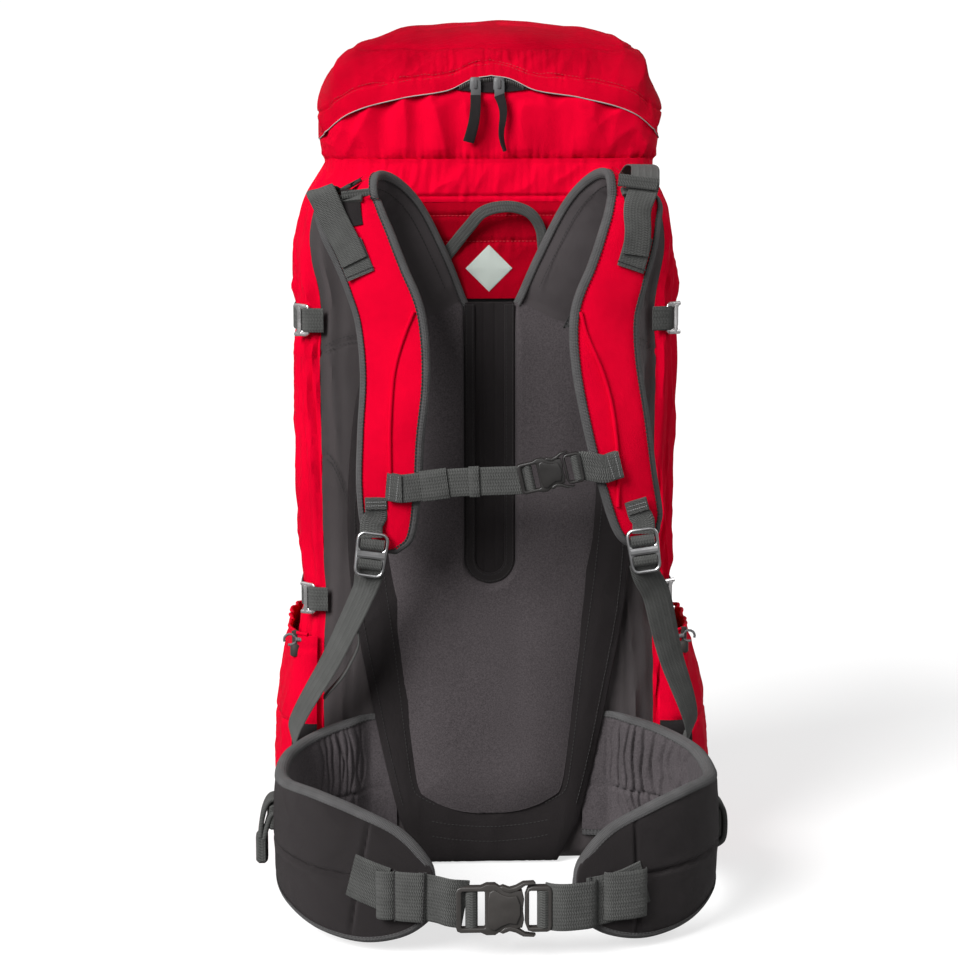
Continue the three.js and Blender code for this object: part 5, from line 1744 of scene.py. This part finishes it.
# Outlines of a side-release buckle in shares of its length and height; upper halves from left to right
SOCKET = (
    (-0.5, 0.34), (-0.485, 0.42), (-0.45, 0.45), (-0.24, 0.45), (-0.18, 0.5), (-0.09, 0.5), (-0.03, 0.42),
    (0.05, 0.36), (0.12, 0.38), (0.19, 0.36), (0.21, 0.2), (0.2, 0.05),
)
SHIELD = ((-0.17, 0.2), (-0.15, 0.36), (-0.1, 0.4), (-0.02, 0.31), (0.05, 0.26), (0.13, 0.28), (0.17, 0.1))
PRONG = ((0.22, 0.28), (0.25, 0.42), (0.3, 0.45), (0.45, 0.45), (0.485, 0.42), (0.5, 0.34))
ARM = np.array([
    (0.33, 0.5), (0.22, 0.47), (0.14, 0.37), (0.06, 0.33), (0.0, 0.36), (-0.05, 0.44), (-0.01, 0.47),
    (0.06, 0.42), (0.12, 0.45), (0.2, 0.53), (0.31, 0.54),
])
# An alloy hook in millimetres, as an upper half
HOOK = (
    (-2.2, 0.5), (-2.8, 6.5), (-4.8, 10.5), (-7.2, 12.6), (-6.4, 14.4), (-2.0, 13.4), (3.0, 13.2),
    (7.0, 14.4), (9.4, 12.4), (9.4, 0.5),
)


def both_halves(rows):
    """An outline from the points of its upper half, from left to right."""
    upper = np.array(rows)
    return np.concatenate([upper, upper[::-1] * (1, -1)])


def side_release(name, middle, right, up, long, tall, thick, material):
    """A side-release buckle: the socket on the left, the prong with its two arms on the right."""
    size = np.array([long, tall])

    def slotted(rows, left, right_end):
        slot = rounded(left * long, -0.36 * tall, right_end * long, 0.36 * tall, 1.2)
        return [both_halves(rows) * size, slot]

    socket = Fitting(middle, right, up)
    socket.plate(slotted(SOCKET, -0.44, -0.195), thick * 0.8, 0.0, 1.0)
    socket.plate([both_halves(SHIELD) * size], thick * 0.3, thick * 0.42, 0.8)
    socket.make(name + "_socket", material, "plastic")

    prong = Fitting(middle, right, up)
    prong.plate(slotted(PRONG, 0.262, 0.45), thick * 0.8, 0.0, 1.0)
    for way in (1, -1):
        prong.plate([ARM[::way] * (1, way) * size], thick * 0.7, thick * 0.12, 0.8)
    prong.make(name + "_prong", material, "plastic")

    rolls = Shape()
    across, upright, out = prong.axes
    for place, half, rise in ((-0.335, 0.065, 0.36), (0.415, 0.07, 0.56)):
        line = middle + across * place * long + upright * np.linspace(-0.36, 0.36, 5)[:, None] * tall
        sweep(rolls, line, across, out, half * long, thick * rise, ROUND)
    rolls.make(name + "_rolls", [WEBBING], "webbing")


def ladder_lock(node, middle, right, up, wide, tall, thick, material):
    """A rounded frame with two slots and a middle bar."""
    lock = Fitting(middle, right, up)
    rim = min(3.4, 0.2 * tall)
    corner = min(0.26 * wide, 0.3 * tall)
    outer = rounded(-wide / 2, -tall / 2, wide / 2, tall / 2, corner)
    outer = outer * (1 - 0.07 * (outer[:, 1:] < 0) * np.array([1.0, 0.0]))
    open_half = wide / 2 - rim
    bar = 0.09 * tall
    upper = rounded(-open_half, bar, open_half, tall / 2 - rim, corner * 0.45)
    lower = rounded(-open_half * 0.92, -tall / 2 + rim, open_half * 0.92, -bar, corner * 0.45)
    lock.plate([outer, upper, lower], thick, 0.0, thick * 0.42)
    lock.bar((-open_half - 1, 0), (open_half + 1, 0), bar, thick * 0.25)
    lock.make(node, material, "plastic")


def hook(node, middle, inward, up):
    """A flat alloy hook: waisted on the outside, with a slot for the webbing on the inside."""
    plate = Fitting(middle, inward, up)
    plate.plate([both_halves(HOOK), rounded(1.4, -10.0, 6.4, 10.0, 1.6)], 2.8, 0.0, 0.8)
    plate.bar((-0.4, -12), (-0.4, 12), 2.3, 0.9)
    for way in (-1, 1):
        plate.bar((-5.4, 13.0 * way), (7.4, 12.6 * way), 2.0, 0.9)
    plate.make(node, METAL, "metal")


# Straps and buckles in place


def on_top(side, place, share, lift):
    """Places over a strap's face."""
    share = np.asarray(share, float)
    return on_strap(side, place, share, strap_rise(share) + lift)


# Load lifters: places of the free part, heights and shares of the strap where they lie on it, and the
# band over them by its place, width, height and slope
LIFTERS = {
    "left": {
        "free": (
            (126, -2.8, 608), (131, 8, 614), (140, 34, 618), (147, 57, 622),
            (149.5, 65, 622.5), (146.5, 70.5, 617),
        ),
        "laid": ((598, -0.45), (580, -0.36), (564, -0.33)),
        "band": (117, 69, 619, 27, 6.5, 0.12),
    },
    "right": {
        "free": (
            (124, -2.8, 616), (126, 4, 628), (131, 24, 640), (135, 44, 640), (134, 60, 634), (132.5, 70, 624),
        ),
        "laid": ((602, 0.0), (585, -0.14), (567, -0.25)),
        "band": (126, 75, 628, 34, 11, -0.12),
    },
}
# Lower ends of the straps: height and share of the tab, place of the lock, places of the webbing below
# it, and how far that webbing turns to the side along its run
STRAP_ENDS = {
    "left": {
        "top": 355.5,
        "share": -0.33,
        "lock": (107.5, 80, 304),
        "foot": ((116.5, 63, 262), (142, 40, 205), (179, 20, 132)),
        "turn": ((0, 0.0), (0.12, 0.5), (0.75, 0.9), (1, 1.0)),
    },
    "right": {
        "top": 352.5,
        "share": 0.0,
        "lock": (132.5, 83, 306),
        "foot": ((146, 65, 262), (161, 42, 205), (184, 20, 132)),
        "turn": ((0, 0.0), (0.15, 0.0), (0.92, 1.0), (1, 1.0)),
    },
}
# Loose tail beside the left lower strap
TAIL = ((121, 52, 252), (119.7, 55, 233), (119, 52, 218), (124.7, 47, 203), (134, 41, 186), (150.7, 33, 165))


def make_lifter(side):
    """A load lifter: its webbing over the strap, the tab, the band, the lock and the keeper."""
    rows = LIFTERS[side]
    points = [mirror(at(*row), side) for row in rows["free"]]
    points += [on_top(side, strap_place(side, z), share, 4.6) for z, share in rows["laid"]]
    end, share = rows["laid"][-1]
    end_face = strap_frame(side, strap_place(side, end))[2]
    line = spaced(points, WEB_STEP)
    along = np.linspace(0, 1, len(line))[:, None]
    bent = unit(line - mirror(at(130, 30, 585), side)) * bell(along - 0.5, 0.2)
    look = UPWARD * limited(1 - along / 0.4) + bent + end_face * limited(2 * along - 1)
    web("lifter_webbing_" + side, points, WEB, look=unit(look), node="lifter_web_" + side)
    points = [on_top(side, strap_place(side, end + drop), share, 2.2) for drop in (16, 4, -12)]
    web("lifter_tab_" + side, points, WEB + 1.0, look=end_face, rows=(-2,))
    across, out, z, wide, tall, slope = rows["band"]
    spread = np.linspace(-0.5, 0.5, 5)[:, None] * wide * np.array([1, 0, slope])
    web("lifter_band_" + side, mirror(at(across, out, z), side) + spread, tall, look=OUTWARD)
    _, neck, face, _ = strap_frame(side, 4.3)
    spot = on_top(side, 4.3, -0.03, 3.6)
    right = neck * SIDES[side] * -1
    ladder_lock("lifter_lock_" + side, spot, right, np.cross(face, neck), *LIFTER_LOCK, PLASTIC)
    _, neck, face, _ = strap_frame(side, 5.0)
    spot = on_top(side, 5.0, 0.1, 1.6)
    keeper("lifter_keeper_" + side, spot, np.cross(face, neck), face, 24.0, 8.0, 0.6)
    places = ((4.5, 0.2), (5.0, 0.14), (5.6, 0.06), (6.2, -0.02))
    points = [on_top(side, place, share, 1.0) for place, share in places]
    web("lifter_anchor_" + side, points, TAB_WEB, look=strap_frame(side, 5.4)[2], material=BLACK)


def make_strap_end(side):
    """The tab at a strap's tip, its lock and the webbing that runs down to the bag's foot."""
    rows = STRAP_ENDS[side]
    across, out, z = rows["lock"]
    place = strap_place(side, rows["top"])
    share = rows["share"]
    points = [
        on_top(side, place, share, 1.8),
        on_top(side, place + 0.35, share, 3.4),
        mirror(at(across - 0.8, out + 1.5, z + 27.5), side),
        mirror(at(across - 0.4, out + 2.4, z + 15.0), side),
    ]
    web("strap_tab_" + side, points, TAB_WEB, look=OUTWARD, node="strap_tab_" + side, hem_start=13.0)
    middle = mirror(at(across, out + 1.7, z), side)
    right = unit(np.array([1.0, 0.0, 0.14 * SIDES[side]]))
    up = unit(np.array([-0.14 * SIDES[side], 0.0, 1.0]))
    ladder_lock("strap_lock_" + side, middle, right, up, *STRAP_LOCK, STEEL)
    rolls = Shape()
    for level in (9.0, -8.6):
        line = middle + up * level + right * np.linspace(-10.5, 10.5, 6)[:, None] + OUTWARD * 0.6
        sweep(rolls, line, up, OUTWARD, 5.0, 3.0, ROUND)
    rolls.make("strap_roll_" + side, [WEBBING], "webbing")
    anchor = [mirror(bag(np.array(-0.5), np.array(level), 2.6), side) for level in (96.0, 78.0)]
    points = [
        mirror(at(across - 0.6, out + 0.4, z - 11.0), side),
        mirror(at(across + 3.4, out - 6.0, z - 24.0), side),
        *(mirror(at(*row), side) for row in rows["foot"]),
        *anchor,
    ]
    count = len(spaced(points, WEB_STEP))
    turned = np.interp(np.linspace(0, 1, count), *zip(*rows["turn"]))[:, None]
    look = unit(OUTWARD * (1 - 0.75 * turned) + mirror(RIGHTWARD, side) * turned)
    web("lower_webbing_" + side, points, WEB, look=look, node="lower_web_" + side)
    if side == "left":
        web("strap_tail_left", [mirror(at(*row), side) for row in TAIL], TAIL_WEB, look=RIGHTWARD)


def make_sternum():
    right = np.array([1.0, 0.0, 0.22])
    up = np.array([-0.22, 0.0, 1.0])
    middle = at(49, 101, 378)
    side_release("sternum", middle, right, up, *STERNUM_BUCKLE, BLACK_PLASTIC)
    axis = unit(right)
    place = strap_place("left", STERNUM_LEVELS["left"])
    points = [
        *(on_top("left", place, share, lift) for share, lift in ((0.02, 3.4), (0.26, 3.6), (0.55, 4.4))),
        at(-40, 97, 369),
        at(-5, 100, 371),
        middle - axis * 29.0,
        middle - axis * 21.5,
    ]
    line, face = web(
        "sternum_webbing_left", points, WEB, look=OUTWARD, node="sternum_web_left", hem_start=14.0
    )
    for number, (spot, long) in enumerate(((12, 24.0), (22, 9.0))):
        along = line[spot + 1] - line[spot]
        keeper("sternum_keeper_%d" % number, line[spot] + face[spot] * 0.6, along, OUTWARD, WEB, long)
    place = strap_place("right", STERNUM_LEVELS["right"])
    points = [
        middle + axis * 21.5,
        middle + axis * 29.0,
        *(on_top("right", place, share, lift) for share, lift in ((0.8, 5.0), (0.52, 3.4), (0.24, 3.2))),
    ]
    web("sternum_webbing_right", points, WEB, look=OUTWARD, node="sternum_web_right", hem_end=14.0)


def belt_front(side, across, z, lift):
    """A place over the front of the belt wing, by its distance from the middle and its height."""
    dense = np.linspace(5, WING_LAST, 400)
    place = np.interp(-across, -smooth(WING, "across", dense, "place"), dense)
    low = smooth(WING, "low", place, "place")
    share = np.clip((z - low) / (smooth(WING, "high", place, "place") - low), 0.05, 0.95)
    return on_wing(side, place, share, wing_rise(share) + lift)


# Webbing at the front of the belt: distance from the middle, height and lift off the wing
HIP_WEBS = {
    "left": {
        "tab": ((122, 67, 1.4), (112, 63.5, 1.4), (102, 60, 1.4), (95, 58, 1.4)),
        "fold": (
            (101, 54.6, 4.4), (101, 54.8, 6.6), (97, 55, 9.4), (92, 55, 9.6), (88, 55, 7.6), (86.5, 55, 4.5),
        ),
        "sheath": (
            (87, 55, 4.0), (85.5, 55, 7.0), (80, 55, 8.2), (72, 55, 8.2), (65, 54.8, 7.0), (63, 54.6, 4.0),
        ),
        "run": ((70, 54.8, 2.2), (64, 54.4, 3.0)),
        "free": ((55, 288.5, 53.5), (47, 291.5, 52), (40, 290, 50.5), (33, 285.5, 48.5)),
    },
    "right": {
        "tab": ((113, 59.5, 1.4), (106, 57, 1.4), (98, 54, 1.4), (90, 52, 1.4)),
        "fold": (
            (112.6, 52, 4.0), (112, 52, 6.2), (106, 52, 8.6), (96, 52, 9.4), (86, 52, 8.4), (80, 52, 5.6),
            (79, 52, 3.0),
        ),
        "sheath": ((88, 50.5, 2.0), (80, 49, 2.4), (72, 48, 2.4), (66, 47.5, 3.0)),
        "run": ((72.6, 47, 1.4), (71.5, 47, 5.6), (66, 47, 8.8)),
        "free": ((56, 292, 46.8), (46, 292.5, 46.6), (39, 289.5, 46.2), (34, 284, 45.8)),
    },
}
# Loops at the belt's sides, by distance from the middle and height; blocks also by half width and height
LOOP_OUT = 115.5
BELT_LOOPS = {
    "left": {
        "strands": (
            ((189, 96), (197, 95), (202, 87), (205, 74), (206, 62)),
            ((189, 84), (196, 82), (200, 72), (203, 60)),
        ),
        "blocks": ((194, 80, 6.0, 12.0), (205, 51, 5.2, 13.0)),
    },
    "right": {
        "strands": (((188, 89), (195, 88), (200, 81), (201.5, 68), (200, 55), (194, 50), (189, 51)),),
        "blocks": ((194, 69, 5.5, 14.0),),
    },
}


def make_hip():
    middle = at(-1.5, 287, 45)
    side_release("hip", middle, RIGHTWARD, UPWARD, *HIP_BUCKLE, PLASTIC)
    for side, way in SIDES.items():
        rows = HIP_WEBS[side]
        lines = {
            key: [belt_front(side, *row) for row in rows[key]]
            for key in ("tab", "fold", "sheath", "run")
        }
        lines["run"] += [mirror(at(*row), side) for row in rows["free"]]
        look = {
            key: np.cross(tangents(spaced(line, WEB_STEP)), -way * UPWARD)
            for key, line in lines.items()
        }
        web("hip_tab_" + side, lines["tab"], HIP_WEB - 2.0, look=look["tab"])
        web("hip_fold_" + side, lines["fold"], HIP_WEB + 1.0, look=look["fold"])
        web("hip_sheath_" + side, lines["sheath"], HIP_WEB + 2.0, look=look["sheath"], rows=(1, -2))
        web("hip_webbing_" + side, lines["run"], HIP_WEB, look=look["run"], node="hip_web_" + side)
        hoop = Shape()
        for row in BELT_LOOPS[side]["strands"]:
            line = spaced([mirror(at(x, LOOP_OUT, z), side) for x, z in row], 2.0)
            sweep(hoop, line, OUTWARD, np.cross(tangents(line), OUTWARD), 12.0, 2.2)
        for x, z, wide, tall in BELT_LOOPS[side]["blocks"]:
            block(hoop, mirror(at(x, LOOP_OUT, z), side), (wide, 11.0, tall))
        hoop.make("belt_loop_" + side, [WEBBING], "webbing", node="hip_loop_" + side)


def make_side_straps():
    for side, way in SIDES.items():
        for level, z in SIDE_LEVELS.items():
            phi = np.linspace(BACK_SEAM + 0.05, FRONT_SEAM + 0.06, 22)
            line = mirror(bag(phi, np.full(22, z), 1.9), side)
            heart = np.array([0.0, 0.0, z])
            name = "%s_%s" % (level, side)
            web("side_webbing_" + name, line, SIDE_WEB, away_from=heart, node="side_web_" + name)
            phi = np.linspace(BACK_SEAM - 0.03, BACK_SEAM + 0.055, 6)
            lift = np.array([1.8, 2.6, 3.8, 4.8, 5.4, 5.2])
            line = mirror(bag(phi, np.full(6, z), lift), side)
            web("side_web_end_" + name, line, SIDE_WEB + 2.0, away_from=heart)
            spot = mirror(bag(np.array([BACK_SEAM + 0.075, BACK_SEAM + 0.16]), np.full(2, z), 4.6), side)
            inward = unit(spot[0] - spot[1]) - 0.9 * way * RIGHTWARD
            hook("side_hook_" + name, spot[0] + OUTWARD * 1.5, inward, -way * UPWARD)


# Grab handle: places across, out from the back and height
HANDLE = np.array([
    (-39, 6.3, 560), (-32.6, 6.8, 568), (-18.3, 11, 586), (-4.9, 15, 600),
    (16.4, 17, 604.5), (35.1, 14, 599), (45.4, 9, 585), (48, 6.3, 566),
], float)
# A cord lock's barrel and button, by height from its middle and radius
CORD_LOCK = table(
    "z radius",
    (-12, 3.8), (-11, 5.0), (-3, 5.0), (-1, 4.8), (0, 3.2), (9, 3.2), (11, 3.6), (12, 2.4),
)


def make_handle():
    line = spaced(at(*HANDLE.T), 2.5)
    shape = Shape()
    sweep(shape, line, *facing(line, OUTWARD), np.linspace(5.9, 4.6, len(line)), 1.0)
    shape.make("webbing_grab_handle", [WEBBING], "webbing", node="grab_handle")


def make_pocket_locks():
    """A cord lock beside each pocket's hem, with the cord's fixed ends."""
    for side, way in SIDES.items():
        middle = mirror(bag(np.array(-0.47), np.array(POCKET_TOP - 9.0), 9.0 + 1.5 * way), side)
        barrel = Shape()
        line = middle + UPWARD * CORD_LOCK["z"][:, None]
        sweep(barrel, line, RIGHTWARD, OUTWARD, CORD_LOCK["radius"], CORD_LOCK["radius"], ROUND)
        barrel.make("cord_lock_" + side, [PLASTIC], "plastic", node="pocket_lock_" + side)
        ends = Shape()
        turn = np.linspace(-0.4, 2 * np.pi - 1.2, 12)
        loop = np.stack([(5.0 + 5.5 * np.cos(turn)) * way, -2.0 + 0 * turn, 4 + 5.0 * np.sin(turn)], -1)
        tube(ends, middle + loop, 1.2)
        cord = np.array([(0, -5, 5), (-6 * way, -5.5, 4), (-13 * way, -3.5, 0), (-20 * way, -1, -5)])
        tube(ends, middle + cord, 1.8)
        ends.make("cord_end_" + side, [CORD], "webbing")


# Joining up

make_bag()
make_lid()
make_hinge()
make_zip()
make_yoke()
make_back()
for name, seed in (("left", 131), ("right", 171)):
    make_strap(name, seed)
    make_wing(name, seed + 60)
    make_pocket(name)
    make_lifter(name)
    make_strap_end(name)
make_sternum()
make_hip()
make_side_straps()
make_handle()
make_pocket_locks()
RED_SEAMS.make("stitching_red", [RED_THREAD], "red_nylon")
DARK_SEAMS.make("stitching_dark", [DARK_THREAD], "webbing")
PALE_SEAMS.make("stitching_pale", [PALE_THREAD], "webbing")
